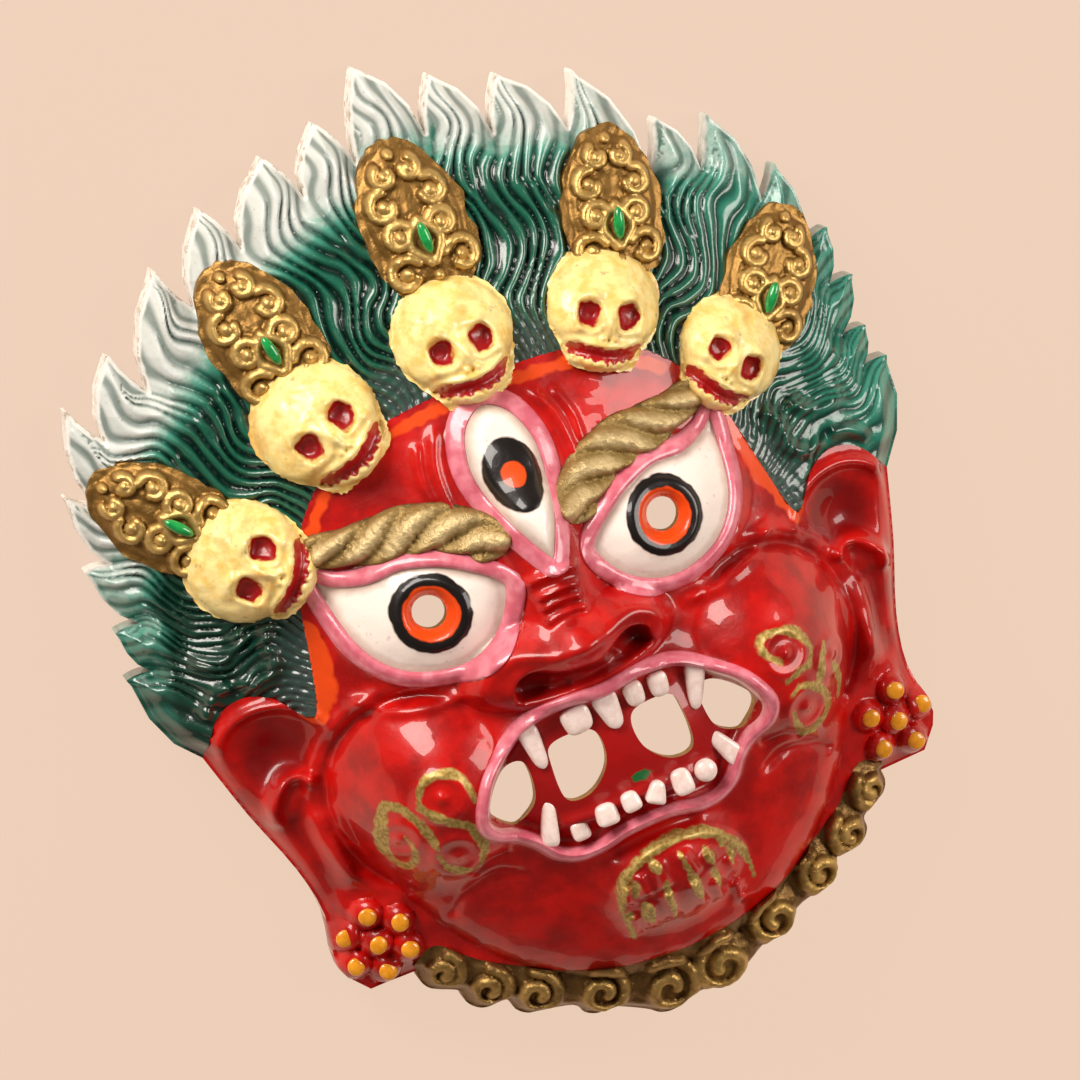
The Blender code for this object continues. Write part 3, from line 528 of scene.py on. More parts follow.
def mane_forms(x, y):
    """Flames with a valley between them, and locks combed along them that join toward the roots."""
    depth, bent, across, dist = lock_field(x, y)
    uneven = 0.10 * ripple(x, y, 7.0, 3) + 0.10 * ripple(x, y, 15.0, 12)
    outer = strand_profile(LOCKS_A_FLAME / 2 * across * (1.0 + 0.25 * ease(1.0 - depth / 10.0))
                           + uneven)
    inner = strand_profile(bent * ROOT_REACH / ROOT_LOCK_WIDTH + 1.6 * uneven)
    join = ease((depth - 17.0 - 4.0 * ripple(x, y, 9.0, 14)) / 7.0)
    strands = outer + (inner - outer) * join
    roots = ease((dist - 50.0 + 4.0 * np.sin(3 * bent)) / 12.0)
    right = ease((x - 36.0) / 22.0) * ease((62.0 - y) / 30.0)
    flame = ease(1.0 - depth / 16.0)
    left = ease((-x - 46.0) / 16.0) * ease((26.0 - y) / 20.0)
    height = LOCK_HEIGHT * (0.3 + 0.7 * roots) * (1.0 - 0.5 * ease(1.0 - depth / 9.0))
    height *= (1.0 - 0.72 * right - 0.4 * left) * (1.0 + 0.3 * ripple(x, y, 10.0, 13))
    z = height * (strands - 0.6) + 1.5 * flame * (np.cos(math.pi / 2 * across) - 0.35)
    for side in (-1, 1):
        z += folds(x, y, EAR_TOP_FOLDS, side)
    z += 0.16 * ripple(x, y, 2.6, 11) * (1.0 - roots)
    z += 0.8 * (right + left) * ripple(x, y, 13.0, 15)
    return z, strands, depth, roots


def small_scale_unevenness(x, y):
    """What the hand left in the wax, and the thickness of the paint."""
    return 0.10 * ripple(x, y, 14.0, 1) + 0.045 * ripple(x, y, 4.5, 2)


def edge_fade(x, y, z, reach=4 * EDGE_ROUND):
    """The height brought down to the casting's even edge, with its corner rounded."""
    gap, _ = along(x, y, np.vstack([EDGE, EDGE[:1]]))
    near = 1.0 - ease(gap / reach)
    return z - near * (z - EDGE_THICKNESS) - boss(np.minimum(gap / EDGE_ROUND, 1.0), 0.4 * EDGE_ROUND)


def smooth_face(x, y):
    """The mask's main forms, which every ornament lies on."""
    return base_height(x, y) + big_forms(x, y)


def face_height(x, y):
    """The painted face with the ears, as it is seen."""
    z = smooth_face(x, y) + face_folds(x, y) + ear_forms(x, y) + mouth_forms(x, y)
    z += eye_forms(x, y) + chin_forms(x, y) + small_scale_unevenness(x, y)
    return edge_fade(x, y, z) + earring_forms(x, y)


def mane_height(x, y):
    return edge_fade(x, y, base_height(x, y) + big_forms(x, y) + mane_forms(x, y)[0])


def back_height(x, y, front):
    """The hollow's ceiling inside the rim, and the rim's flat underside outside it. The ceiling stays
    a thin wall below the lowest front near a point."""
    shifts = ((0, 0), (WALL_REACH, 0), (-WALL_REACH, 0), (0, WALL_REACH), (0, -WALL_REACH))
    fronts = [front(x + dx, y + dy) for dx, dy in shifts]
    smooth = smooth_face(x, y) - 1.4 * WALL
    ceiling = np.minimum(smooth, np.minimum.reduce(fronts) - THIN_WALL)
    return ceiling * ease(np.clip(-signed(x, y, RIM), 0.0, None) / (2 * WALL))


def holes():
    """Both pupils and the four openings in the mouth."""
    loops = []
    turns = np.linspace(0.0, 2 * math.pi, 48, endpoint=False)
    for side in (-1, 1):
        loops.append(np.stack([side * EYE_PLACE[0] + PUPIL_HOLE_RADIUS * np.cos(turns),
                               EYE_PLACE[1] + PUPIL_HOLE_RADIUS * np.sin(turns)], 1))
        for hole in (INNER_HOLE, OUTER_HOLE):
            loops.append(spaced(curve(mirrored(hole, side), 8, closed=True), 0.6, closed=True))
    return loops


def triangulate(points, loops):
    """Delaunay triangles that keep each loop's edges, inside the first loop and outside the others."""
    edges, count = [], 0
    for loop in loops:
        edges += [(count + i, count + (i + 1) % len(loop)) for i in range(len(loop))]
        count += len(loop)
    everything = [Vector(point) for point in np.vstack(list(loops) + [points]).tolist()]
    result = delaunay_2d_cdt(everything, edges, [], 0, 1e-6)
    spots = np.array([tuple(spot) for spot in result[0]])
    faces = np.array([face for face in result[2] if len(face) == 3])
    middle = spots[faces].mean(axis=1)
    keep = inside(middle[:, 0], middle[:, 1], loops[0])
    for loop in loops[1:]:
        keep &= ~inside(middle[:, 0], middle[:, 1], loop)
    return spots, faces[keep]


def lattice(loops, spacing):
    """A triangular lattice inside the loops and clear of their edges."""
    low, high = loops[0].min(axis=0), loops[0].max(axis=0)
    rows = np.arange(low[1], high[1], spacing * math.sqrt(0.75))
    columns = np.arange(low[0], high[0], spacing)
    x, y = np.meshgrid(columns, rows)
    x[1::2] += spacing / 2
    x, y = x.ravel(), y.ravel()
    keep = inside(x, y, loops[0])
    for loop in loops[1:]:
        keep &= ~inside(x, y, loop)
    x, y = x[keep], y[keep]
    crowded = np.zeros(len(x), bool)
    reach = 0.5 * spacing
    cells = set()
    for loop in loops:
        for px, py in loop:
            cell = (int(px // spacing), int(py // spacing))
            cells.update((cell[0] + i, cell[1] + j) for i in (-1, 0, 1) for j in (-1, 0, 1))
    near = np.array([(int(px // spacing), int(py // spacing)) in cells for px, py in zip(x, y)])
    spots = np.vstack(loops)
    for index in np.nonzero(near)[0]:
        crowded[index] = np.hypot(spots[:, 0] - x[index], spots[:, 1] - y[index]).min() < reach
    return np.stack([x[~crowded], y[~crowded]], 1)


def split(path, spacing, closed=False):
    """The path's own corners with even points between them."""
    path = np.asarray(path, float)
    if closed:
        path = np.vstack([path, path[:1]])
    points = []
    for start, end in zip(path, path[1:]):
        steps = max(1, math.ceil(np.linalg.norm(end - start) / spacing))
        points += [start + (end - start) * step / steps for step in range(steps)]
    if not closed:
        points.append(path[-1])
    return np.array(points)


def linear(code):
    """sRGB hex to linear colour."""
    parts = [int(code[place:place + 2], 16) / 255 for place in (1, 3, 5)]
    return [part / 12.92 if part <= 0.04045 else ((part + 0.055) / 1.055) ** 2.4
            for part in parts] + [1.0]


def add(tree, kind, out, inputs, **settings):
    """A node with its settings and links. An input is a number, another node's output, a colour
    such as "#970706", or the name of a layer measured on the mesh."""
    made = tree.nodes.new("ShaderNode" + kind)
    for name, value in settings.items():
        setattr(made, name, value)
    for name, value in inputs.items():
        if isinstance(value, str):
            value = (linear(value) if value[0] == "#"
                     else add(tree, "Attribute", "Fac", {}, attribute_name=value))
        if isinstance(value, bpy.types.NodeSocket):
            tree.links.new(value, made.inputs[name])
        else:
            made.inputs[name].default_value = value
    return made.outputs[out]


COAT_IOR = 1.4  # thin oil enamel over the colour: wet, but not glassy


def new_material(name, roughness, metallic=0.0, coat=0.0, coat_roughness=0.05, ior=1.5):
    material = bpy.data.materials.new(name)
    material.use_nodes = True
    tree = material.node_tree
    shader = tree.nodes["Principled BSDF"]
    for name, value in (("Roughness", roughness), ("Metallic", metallic), ("Coat Weight", coat),
                        ("Coat Roughness", coat_roughness), ("Coat IOR", COAT_IOR), ("IOR", ior)):
        shader.inputs[name].default_value = value
    return material, tree, shader


def grain(tree, size, detail=3.0, seed=0.0):
    """Uneven brushing with patches of one size in millimetres."""
    place = add(tree, "Mapping", "Vector",
                {"Vector": add(tree, "TexCoord", "Object", {}), "Location": (seed, seed, seed)})
    return add(tree, "TexNoise", "Fac",
               {"Vector": place, "Scale": 1.0 / (size * MM), "Detail": detail, "Roughness": 0.6})


def brushed_over(tree, under, over, value, low, high, most=1.0):
    """One colour laid over another as a value rises from low to high."""
    share = add(tree, "MapRange", "Result",
                {"Value": value, "From Min": low, "From Max": high, "To Max": most},
                interpolation_type="SMOOTHSTEP")
    return add(tree, "Mix", 2, {0: share, 6: under, 7: over}, data_type="RGBA")


def painted_area(tree, layer, limit, soft=0.12, wobble=0.5, size=2.4, seed=0.0):
    """1 where a measured distance is under the limit, with a hand-brushed edge."""
    uneven = add(tree, "Math", 0, {0: grain(tree, size, 1.0, seed), 1: 2 * wobble, 2: -wobble},
                 operation="MULTIPLY_ADD")
    total = add(tree, "Math", 0, {0: layer, 1: uneven}, operation="ADD")
    return add(tree, "MapRange", "Result",
               {"Value": total, "From Min": limit + soft, "From Max": limit - soft})


def painted(tree, under, over, *area, **edge):
    """A colour inside a painted area."""
    return add(tree, "Mix", 2, {0: painted_area(tree, *area, **edge), 6: under, 7: over},
               data_type="RGBA")


def coated(tree, shader, colour, height, depth):
    """The colour on its shader, with fine unevenness whose depth is in millimetres."""
    tree.links.new(colour, shader.inputs["Base Color"])
    bump = add(tree, "Bump", "Normal", {"Height": height, "Distance": depth * MM, "Strength": 1.0})
    tree.links.new(bump, shader.inputs["Normal"])


def red_enamel():
    """Glossy brushed enamel, with painted shade darkening the red in the folds and recesses."""
    material, tree, shader = new_material("glossy_red_enamel", 0.40, coat=0.75, coat_roughness=0.03,
                                          ior=1.33)
    colour = brushed_over(tree, "#980403", "#c40c06", grain(tree, 9.0, 3.0, 1.0), 0.35, 0.65)
    colour = brushed_over(tree, colour, "#cf2f18", grain(tree, 0.5, 5.0, 15.0), 0.58, 0.72, 0.35)
    # Painted shade: the red darkens the deeper the carving sinks below the smooth face
    colour = brushed_over(tree, colour, "#5e0305", "fold", 0.3, 2.6, 0.6)
    colour = painted(tree, colour, "#a20a0a", "mouth", -1.2, 1.0)
    colour = painted(tree, colour, "#e2480f", "temple", 0.0, 0.25, 1.0, 3.0)
    line = painted_area(tree, "stroke", 0.85, 0.2, 0.6, 1.8, 3.0)
    gold = brushed_over(tree, "#947a38", "#c2a864", grain(tree, 0.9, 3.0, 8.0), 0.35, 0.65)
    colour = add(tree, "Mix", 2, {0: line, 6: colour, 7: gold}, data_type="RGBA")
    white = brushed_over(tree, "#f4e8de", "#a08a80", grain(tree, 1.6, 4.0, 5.0), 0.60, 0.74, 0.35)
    # Painted shade: a greyer band on the eye white along the foot of the lids
    white = painted(tree, white, "#c9b3a6", "lid", 0.9, 0.7, 0.5)
    colour = painted(tree, colour, white, "eye", 1.35, 0.12, 0.9, 3.4)
    colour = painted(tree, colour, "#120e0d", "iris", BLACK_RADIUS, 0.15, 0.45)
    colour = painted(tree, colour, "#e4480c", "iris", IRIS_RADIUS, 0.15, 0.4)
    colour = painted(tree, colour, "#151110", "ball", 0.0, 0.15, 0.3)
    colour = painted(tree, colour, "#dc4c12", "third_dot", 2.2, 0.15, 0.35)
    colour = painted(tree, colour, "#1d6a34", "smear", 1.0, 0.2, 0.7, 1.2)
    # The gold line is duller, uncoated and half metallic
    for name, red_value, gold_value in (("Roughness", 0.38, 0.5), ("Coat Weight", 0.75, 0.25),
                                        ("Metallic", 0.0, 0.5)):
        there = add(tree, "MapRange", "Result",
                    {"Value": line, "To Min": red_value, "To Max": gold_value})
        tree.links.new(there, shader.inputs[name])
    coated(tree, shader, colour, grain(tree, 4.2, 3.0, 3.0), 0.17)
    return material


def pink_enamel():
    """Thick glossy pink line, streaked where the brush turned."""
    material, tree, shader = new_material("glossy_pink_enamel", 0.32, coat=0.7, coat_roughness=0.06)
    colour = brushed_over(tree, "#cd6173", "#e28594", grain(tree, 3.4, 2.0, 2.0), 0.35, 0.7)
    coated(tree, shader, colour, grain(tree, 1.8, 2.0, 4.0), 0.09)
    return material


def hair_paint():
    """Green enamel with painted shade making it nearly black between the locks, brushed over with white
    toward the flame tips.
    """
    material, tree, shader = new_material("green_enamel_with_dry_brushed_white_tips", 0.30, coat=0.8,
                                          coat_roughness=0.07)
    patches = grain(tree, 5.0, 4.0, 7.0)
    # Painted light and shade: the green and the teal go from lighter on the lock tops to nearly black
    # in the grooves between them
    crest = add(tree, "Math", 0, {0: patches, 1: 0.8, 2: "lock"}, operation="MULTIPLY_ADD")
    colour = brushed_over(tree, "#03211a", "#0d5c46", crest, 0.6, 1.45)
    sea = brushed_over(tree, "#0c5040", "#2c8873", crest, 0.5, 1.5)
    colour = add(tree, "Mix", 2, {0: "teal", 6: colour, 7: sea}, data_type="RGBA")
    colour = brushed_over(tree, colour, "#05291e", "deep", 0.0, 1.2, 0.8)
    grey = add(tree, "Math", 0, {0: "dust", 1: patches}, operation="MULTIPLY")
    colour = brushed_over(tree, colour, "#384846", grey, 0.15, 0.6, 0.85)
    # Painted light and shade again for the thin green under the white: lighter on the lock tops, darker
    # in the grooves
    thin = brushed_over(tree, "#1a6553", "#4f9c89", "lock", 0.2, 0.9)
    colour = brushed_over(tree, colour, thin, "pale", 0.02, 0.45, 0.9)
    streak = add(tree, "Math", 0, {0: grain(tree, 1.8, 5.0, 9.0), 1: 0.5, 2: "pale"},
                 operation="MULTIPLY_ADD")
    white = brushed_over(tree, "#7c8983", "#c9cfca", "lock", 0.15, 0.85)
    white = brushed_over(tree, white, "#7a6c58", grain(tree, 1.1, 4.0, 11.0), 0.62, 0.75, 0.5)
    colour = brushed_over(tree, colour, white, streak, 0.5, 1.1)
    edge = add(tree, "Math", 0, {0: grain(tree, 2.4, 3.0, 12.0), 1: 0.5, 2: "rim"},
               operation="MULTIPLY_ADD")
    colour = brushed_over(tree, colour, "#e6e4dc", edge, 0.62, 1.1)
    worn = add(tree, "Math", 0, {0: grain(tree, 1.9, 4.0, 16.0), 1: "rim"}, operation="MULTIPLY")
    colour = brushed_over(tree, colour, "#94764c", worn, 0.50, 0.60, 0.6)
    # The white is brushed on dry
    for name, start, wet, dry in (("Roughness", 0.3, 0.30, 0.55), ("Coat Weight", 0.2, 0.85, 0.25)):
        there = add(tree, "MapRange", "Result",
                    {"Value": "pale", "From Min": start, "From Max": 0.9, "To Min": wet, "To Max": dry})
        tree.links.new(there, shader.inputs[name])
    coated(tree, shader, colour, grain(tree, 1.3, 3.0, 6.0), 0.14)
    return material


def skull_paint():
    """Pale yellow enamel, thick and cracked at its edge, with ochre painted shade in the hollows."""
    material, tree, shader = new_material("cream_yellow_enamel", 0.36, coat=0.5, coat_roughness=0.12)
    colour = brushed_over(tree, "#f6e196", "#e9c263", grain(tree, 3.2, 4.0, 1.0), 0.40, 0.70)
    colour = brushed_over(tree, colour, "#d39a44", grain(tree, 7.0, 3.0, 14.0), 0.52, 0.72, 0.6)
    # Painted shade: ochre the deeper the carving sinks below the skull's dome
    colour = brushed_over(tree, colour, "#b67a2c", "hollow", 0.4, 1.7, 0.6)
    colour = brushed_over(tree, colour, "#8b8468", grain(tree, 2.4, 5.0, 8.0), 0.63, 0.72, 0.65)
    colour = painted(tree, colour, "#9c0a12", "socket", 0.0, 0.12, 0.5, 1.6)
    colour = painted(tree, colour, "#a80f12", "grin", 0.0, 0.12, 0.45, 1.3)
    coated(tree, shader, colour, grain(tree, 1.6, 3.0, 4.0), 0.18)
    return material


def gold_paint(name, high, middle, deep, roughness, metallic, depth=0.14):
    """Bronze powder paint, lit and shaded in its colour: painted highlight on the raised parts, brown
    painted shade in the hollows, which on the collar is also its own dark patina.
    """
    material, tree, shader = new_material(name, roughness, metallic=metallic)
    patches = grain(tree, 3.0, 4.0, 2.0)
    # Painted light and shade: deep, middle and high are the shaded, lit and highlit tones of one
    # bronze, chosen by how raised the surface is
    both = add(tree, "Math", 0, {0: patches, 1: 0.7, 2: "raised"}, operation="MULTIPLY_ADD")
    colour = brushed_over(tree, deep, middle, both, 0.25, 0.7)
    colour = brushed_over(tree, colour, high, both, 0.8, 1.35)
    rough = add(tree, "MapRange", "Result",
                {"Value": patches, "From Min": 0.3, "From Max": 0.7,
                 "To Min": roughness - 0.08, "To Max": roughness + 0.14})
    tree.links.new(rough, shader.inputs["Roughness"])
    coated(tree, shader, colour, grain(tree, 0.9, 3.0, 5.0), depth)
    return material


def plain_enamel(name, light, dark, roughness):
    """A dab of glossy enamel."""
    material, tree, shader = new_material(name, roughness, coat=0.9, coat_roughness=0.05)
    coated(tree, shader, brushed_over(tree, light, dark, grain(tree, 1.5, 3.0, 3.0), 0.35, 0.7),
           grain(tree, 1.0, 2.0, 1.0), 0.06)
    return material


def cast_brass():
    """Rough sand-cast brass, browned in patches."""
    material, tree, shader = new_material("browned_cast_brass", 0.48, metallic=1.0)
    colour = brushed_over(tree, "#8f6a34", "#c39a55", grain(tree, 7.0, 5.0, 1.0), 0.35, 0.68)
    colour = brushed_over(tree, colour, "#5a4228", grain(tree, 2.6, 4.0, 4.0), 0.56, 0.7, 0.7)
    coated(tree, shader, colour, grain(tree, 0.8, 4.0, 2.0), 0.30)
    return material


def finished(name, spots, faces, materials, chosen=None, layers=None, angle=60.0):
    """A closed piece of the mask from points in millimetres."""
    mesh = bpy.data.meshes.new(name)
    mesh.from_pydata((np.asarray(spots, float) * MM).tolist(), [], np.asarray(faces).tolist())
    for material in materials:
        mesh.materials.append(material)
    if chosen is not None:
        mesh.polygons.foreach_set("material_index", np.asarray(chosen, np.int32))
    for key, values in (layers or {}).items():
        layer = mesh.attributes.new(key, "FLOAT", "POINT")
        layer.data.foreach_set("value", np.asarray(values, np.float32))
    mesh.shade_smooth()
    mesh.set_sharp_from_angle(angle=math.radians(angle))
    mesh.validate()
    piece = bpy.data.objects.new(name, mesh)
    bpy.context.scene.collection.objects.link(piece)
    return owned(piece)


def owned(piece):
    """A finished piece rides on the mask and takes the place of its solid."""
    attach(piece, "root")
    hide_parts("mask")
    return piece


def shell(name, loops, spacing, front, back, materials, fields=None, back_spacing=BACK_SPACING,
          hole_wall=0):
    """A skin with its front and back found by height, and walls down its edge and its holes.
    The carving is one relief that no primitive comes near, so its points are set by formula."""
    top, top_faces = triangulate(lattice(loops, spacing), loops)
    under, under_faces = triangulate(lattice(loops, back_spacing), loops)
    rim = sum(len(loop) for loop in loops)
    low = np.stack([under[:, 0], under[:, 1], back(under[:, 0], under[:, 1])], 1)
    high_z = front(top[:, 0], top[:, 1])
    high_z[:rim] = np.maximum(high_z[:rim], low[:rim, 2] + 0.3)
    high = np.stack([top[:, 0], top[:, 1], high_z], 1)
    faces = [turned(high, top_faces, 1), turned(low, under_faces, -1) + len(high)]
    count, walls, kinds = 0, [], []
    for number, loop in enumerate(loops):
        size = len(loop)
        here = count + np.arange(size)
        after = count + (np.arange(size) + 1) % size
        area = np.sum(loop[:, 0] * np.roll(loop[:, 1], -1) - np.roll(loop[:, 0], -1) * loop[:, 1])
        if (area > 0) != (number == 0):
            here, after = after, here
        walls += [np.stack([here, here + len(high), after], 1),
                  np.stack([after, here + len(high), after + len(high)], 1)]
        kinds += [np.full(2 * size, hole_wall if number else 0)]
        count += size
    skins = [np.zeros(len(top_faces)), np.full(len(under_faces), len(materials) - 1)]
    chosen = np.concatenate(skins + kinds)
    everything = np.vstack([high, low])
    layers = fields(*everything.T) if fields else None
    return finished(name, everything, np.vstack(faces + walls), materials, chosen, layers)


def turned(spots, faces, way):
    """Triangles in the order that points them up, or down."""
    a, b, c = spots[faces[:, 0]], spots[faces[:, 1]], spots[faces[:, 2]]
    area = (b[:, 0] - a[:, 0]) * (c[:, 1] - a[:, 1]) - (b[:, 1] - a[:, 1]) * (c[:, 0] - a[:, 0])
    wrong = area * way < 0
    faces = faces.copy()
    faces[wrong] = faces[wrong][:, ::-1]
    return faces


def laid_cord(name, path, width, height, lies_on, material, closed=False, sides=12, sink=0.7,
              layer=None, twist=None):
    """A rounded cord half sunk in the surface; width and height are given along its length."""
    path = np.asarray(path, float)
    count = len(path)
    if closed:
        heading = np.roll(path, -1, axis=0) - np.roll(path, 1, axis=0)
    else:
        heading = np.gradient(path, axis=0)
    heading /= np.linalg.norm(heading, axis=1)[:, None]
    across = np.stack([-heading[:, 1], heading[:, 0]], 1)
    share = np.linspace(0.0, 1.0, count)
    half = np.array([width(s) for s in share]) / 2 if callable(width) else np.full(count, width / 2)
    lift = np.array([height(s) for s in share]) if callable(height) else np.full(count, float(height))
    turn = np.arange(sides) * 2 * math.pi / sides
    swell = np.ones((count, sides))
    if twist is not None:
        strands, turns, depth = twist
        phase = strands * turn[None, :] + 2 * math.pi * turns * share[:, None]
        swell = 1.0 - depth + depth * np.abs(np.sin(0.5 * phase))
    reach = half[:, None] * np.cos(turn)[None, :] * (0.85 + 0.15 * swell)
    x = path[:, 0:1] + across[:, 0:1] * reach
    y = path[:, 1:2] + across[:, 1:2] * reach
    rise = np.where(np.sin(turn) >= 0, lift[:, None] * np.sin(turn)[None, :] * swell,
                    sink * np.sin(turn)[None, :])
    z = lies_on(x.ravel(), y.ravel()).reshape(count, sides) + rise
    spots = np.stack([x, y, z], 2).reshape(-1, 3)
    faces = []
    last = count if closed else count - 1
    for i in range(last):
        a, b = i * sides, ((i + 1) % count) * sides
        for j in range(sides):
            k = (j + 1) % sides
            faces += [(a + j, b + k, b + j), (a + j, a + k, b + k)]
    if not closed:
        for end, start in ((0, 0), (1, (count - 1) * sides)):
            middle = len(spots)
            spots = np.vstack([spots, spots[start:start + sides].mean(axis=0)])
            for j in range(sides):
                k = (j + 1) % sides
                ring = (middle, start + k, start + j)
                faces.append(ring if end == 0 else ring[::-1])
    # How far up the cord's round each point lies; a bronze paint reads it as painted highlight on top
    # and painted shade at the sides and in the twist's grooves
    raised = np.zeros(len(spots))
    raised[:count * sides] = (np.clip(np.sin(turn), 0, 1)[None, :] * swell).ravel()
    return finished(name, spots, faces, [material], layers={layer: raised} if layer else None,
                    angle=75.0)


def spiral(centre, radius, turns, start, hand=1, core=0.22):
    """A scroll's line, wound from its rim to its eye."""
    share = np.linspace(0.0, 1.0, max(8, int(14 * turns)))
    angle = math.radians(start) + hand * 2 * math.pi * turns * share
    reach = radius * (1.0 - (1.0 - core) * share)
    return np.stack([centre[0] + reach * np.cos(angle), centre[1] + reach * np.sin(angle)], 1)


def strand_lines(x, y, paths, width, height):
    """Rounded lines of one width along several paths; where they meet the highest shows."""
    z = np.zeros(np.shape(x))
    for path in paths:
        near = ((x > path[:, 0].min() - width) & (x < path[:, 0].max() + width)
                & (y > path[:, 1].min() - width) & (y < path[:, 1].max() + width))
        if near.any():
            gap, _ = along(x[near], y[near], path)
            z[near] = np.maximum(z[near], height * np.sqrt(np.clip(1.0 - (gap / width) ** 2, 0.0, 1.0)))
    return z


SKULL_LOOP = ((10.9, 1.4), (10.2, 5.4), (7.4, 9.0), (3.6, 10.9), (0.0, 11.2), (-3.8, 10.8),
              (-7.6, 8.8), (-10.4, 5.2), (-11.0, 1.2), (-10.4, -3.0), (-8.6, -6.0), (-7.0, -8.6),
              (-5.4, -10.8), (-1.6, -11.4), (2.6, -11.3), (6.0, -10.4), (7.4, -8.2), (9.0, -5.6),
              (10.5, -2.6))
GRIN = curve(((-5.6, -7.3), (-2.4, -7.8), (0.6, -8.0), (3.4, -7.7), (5.8, -6.9)), 6)
CREST_LOOP = ((0.0, 13.8), (3.6, 12.6), (6.6, 8.8), (9.2, 2.6), (9.4, -3.6), (8.6, -9.4), (6.0, -12.8),
              (0.0, -13.6), (-6.0, -12.8), (-8.6, -9.4), (-9.4, -3.6), (-9.2, 2.6), (-6.6, 8.8),
              (-3.6, 12.6))
CREST_LINES, CREST_BALLS = [], []
for hand in (-1, 1):
    for (x, y), radius, turns, start in (((2.3, 8.2), 1.9, 0.7, 60), ((4.4, 3.4), 2.7, 0.75, 100),
                                         ((3.9, -2.2), 2.5, 0.75, 150), ((5.2, -8.6), 3.1, 0.8, 150)):
        CREST_LINES.append(spiral((hand * x, y), radius, turns, start if hand > 0 else 180 - start,
                                  -hand, 0.6))
        CREST_BALLS.append((hand * x, y, 1.1 if y > 5.0 else 1.4))
    stem = ((0.0, -0.4), (hand * 2.1, -2.6), (hand * 2.6, -5.0), (hand * 0.4, -7.9))
    CREST_LINES.append(curve(stem, 5))
CREST_BALLS += [(0.0, 11.4, 1.1), (0.0, -10.4, 1.1)]


def skull_relief(a, b):
    """A round brow over small deep sockets, a pinched nose, cheekbones and a short jaw with a grin."""
    reach = np.hypot(a / (SKULL_RADIUS * (1.0 - 0.25 * ease(-b / 10.0))),
                     (b + 0.2) / (SKULL_RADIUS + 0.4))
    dome = 0.7 + SKULL_HEIGHT * np.clip(1.0 - 0.98 * reach ** 2, 0.0, 1.0) ** 0.62
    across = np.abs(a)
    z = dome - hill(np.hypot((across - 3.5) / 3.2, (b + 0.6) / 3.0), 1.5)
    z += hill(np.hypot((across - 3.6) / 3.4, (b - 3.3) / 1.5), 1.3)
    socket = np.hypot((across - 3.8) / 2.05, (b + 0.4) / 2.35) + 0.12 * ripple(a, b, 3.6, 6)
    z += hill((socket - 1.35) / 0.5, 0.55) - 1.7 * ease((1.25 - socket) / 0.6)
    z += boss(np.minimum(socket, 1.0), 0.7, 0.6)
    z += hill(np.hypot(a / 1.3, (b + 1.8) / 3.2), 1.5)
    z += hill(np.hypot((across - 1.1) / 0.9, (b + 4.6) / 0.9), 0.8)
    z -= hill(np.hypot(a / 0.6, (b + 4.9) / 0.6), 0.8)
    z += hill(np.hypot((across - 6.4) / 2.2, (b + 3.2) / 2.0), 1.3)
    z -= hill(np.hypot((across - 7.0) / 1.6, (b + 6.8) / 1.8), 1.1)
    gap, share = along(a, b, GRIN)
    teeth = 0.5 + 0.5 * np.cos(2 * math.pi * 7 * share + 1.6 * ripple(a, b, 5.0, 9))
    above = b > np.interp(a, GRIN[:, 0], GRIN[:, 1])
    z += hill((gap - 2.0) / 1.0, 0.9) - hill(gap / 1.1, 0.9)
    z += 0.6 * teeth * hill((gap - 1.2) / 0.8, 1.0) * ~above
    z += 0.16 * ripple(a, b, 4.2, 21) + 0.05 * ripple(a, b, 1.6, 22)
    grin = gap - 1.5 - 0.3 * ripple(a, b, 2.4, 5) + 0.65 * teeth * ~above
    return z, dome, (socket - 1.0) * 1.9, grin


def crest_relief(a, b):
    """Thick scrolls with a ball in each, on a raised ground inside a thin flange."""
    reach = np.hypot(a / CREST_HALF_WIDTH, b / CREST_HALF_LENGTH)
    z = 1.0 + 0.9 * ease((0.90 - reach) / 0.16) + 1.0 * np.clip(1.0 - reach, 0.0, 1.0)
    lines = strand_lines(a, b, CREST_LINES, 1.05, 1.5)
    for x, y, size in CREST_BALLS:
        apart = np.hypot(a - x, b - y) / size
        lines = np.maximum(lines, 1.9 * np.sqrt(np.clip(1.0 - apart ** 2, 0, 1)))
    return z + lines + 0.14 * ripple(a, b, 2.6, 33), lines


red, pink, hair = red_enamel(), pink_enamel(), hair_paint()
skull_coat, brass = skull_paint(), cast_brass()
# In each bronze paint the high, middle and deep tones are painted highlight, lit colour and painted
# shade
crest_gold = gold_paint("bronze_powder_paint_on_crests", "#c8a662", "#8d6a33", "#563c1a", 0.40, 0.72)
brow_gold = gold_paint("champagne_bronze_paint_on_brows", "#ccb684", "#937944", "#4f3b1b", 0.48, 0.5,
                       0.34)
collar_gold = gold_paint("aged_bronze_paint_on_collar", "#c9a55e", "#7f5f33", "#3e2c1a", 0.40, 0.7,
                         0.22)
tooth_ivory = plain_enamel("ivory_enamel_on_teeth", "#f8e6df", "#ecd2c8", 0.24)
gem_green = plain_enamel("green_enamel_on_gems", "#18a04c", "#0c7a3a", 0.2)
dot_yellow = plain_enamel("yellow_enamel_dots", "#eda021", "#d98a14", 0.25)

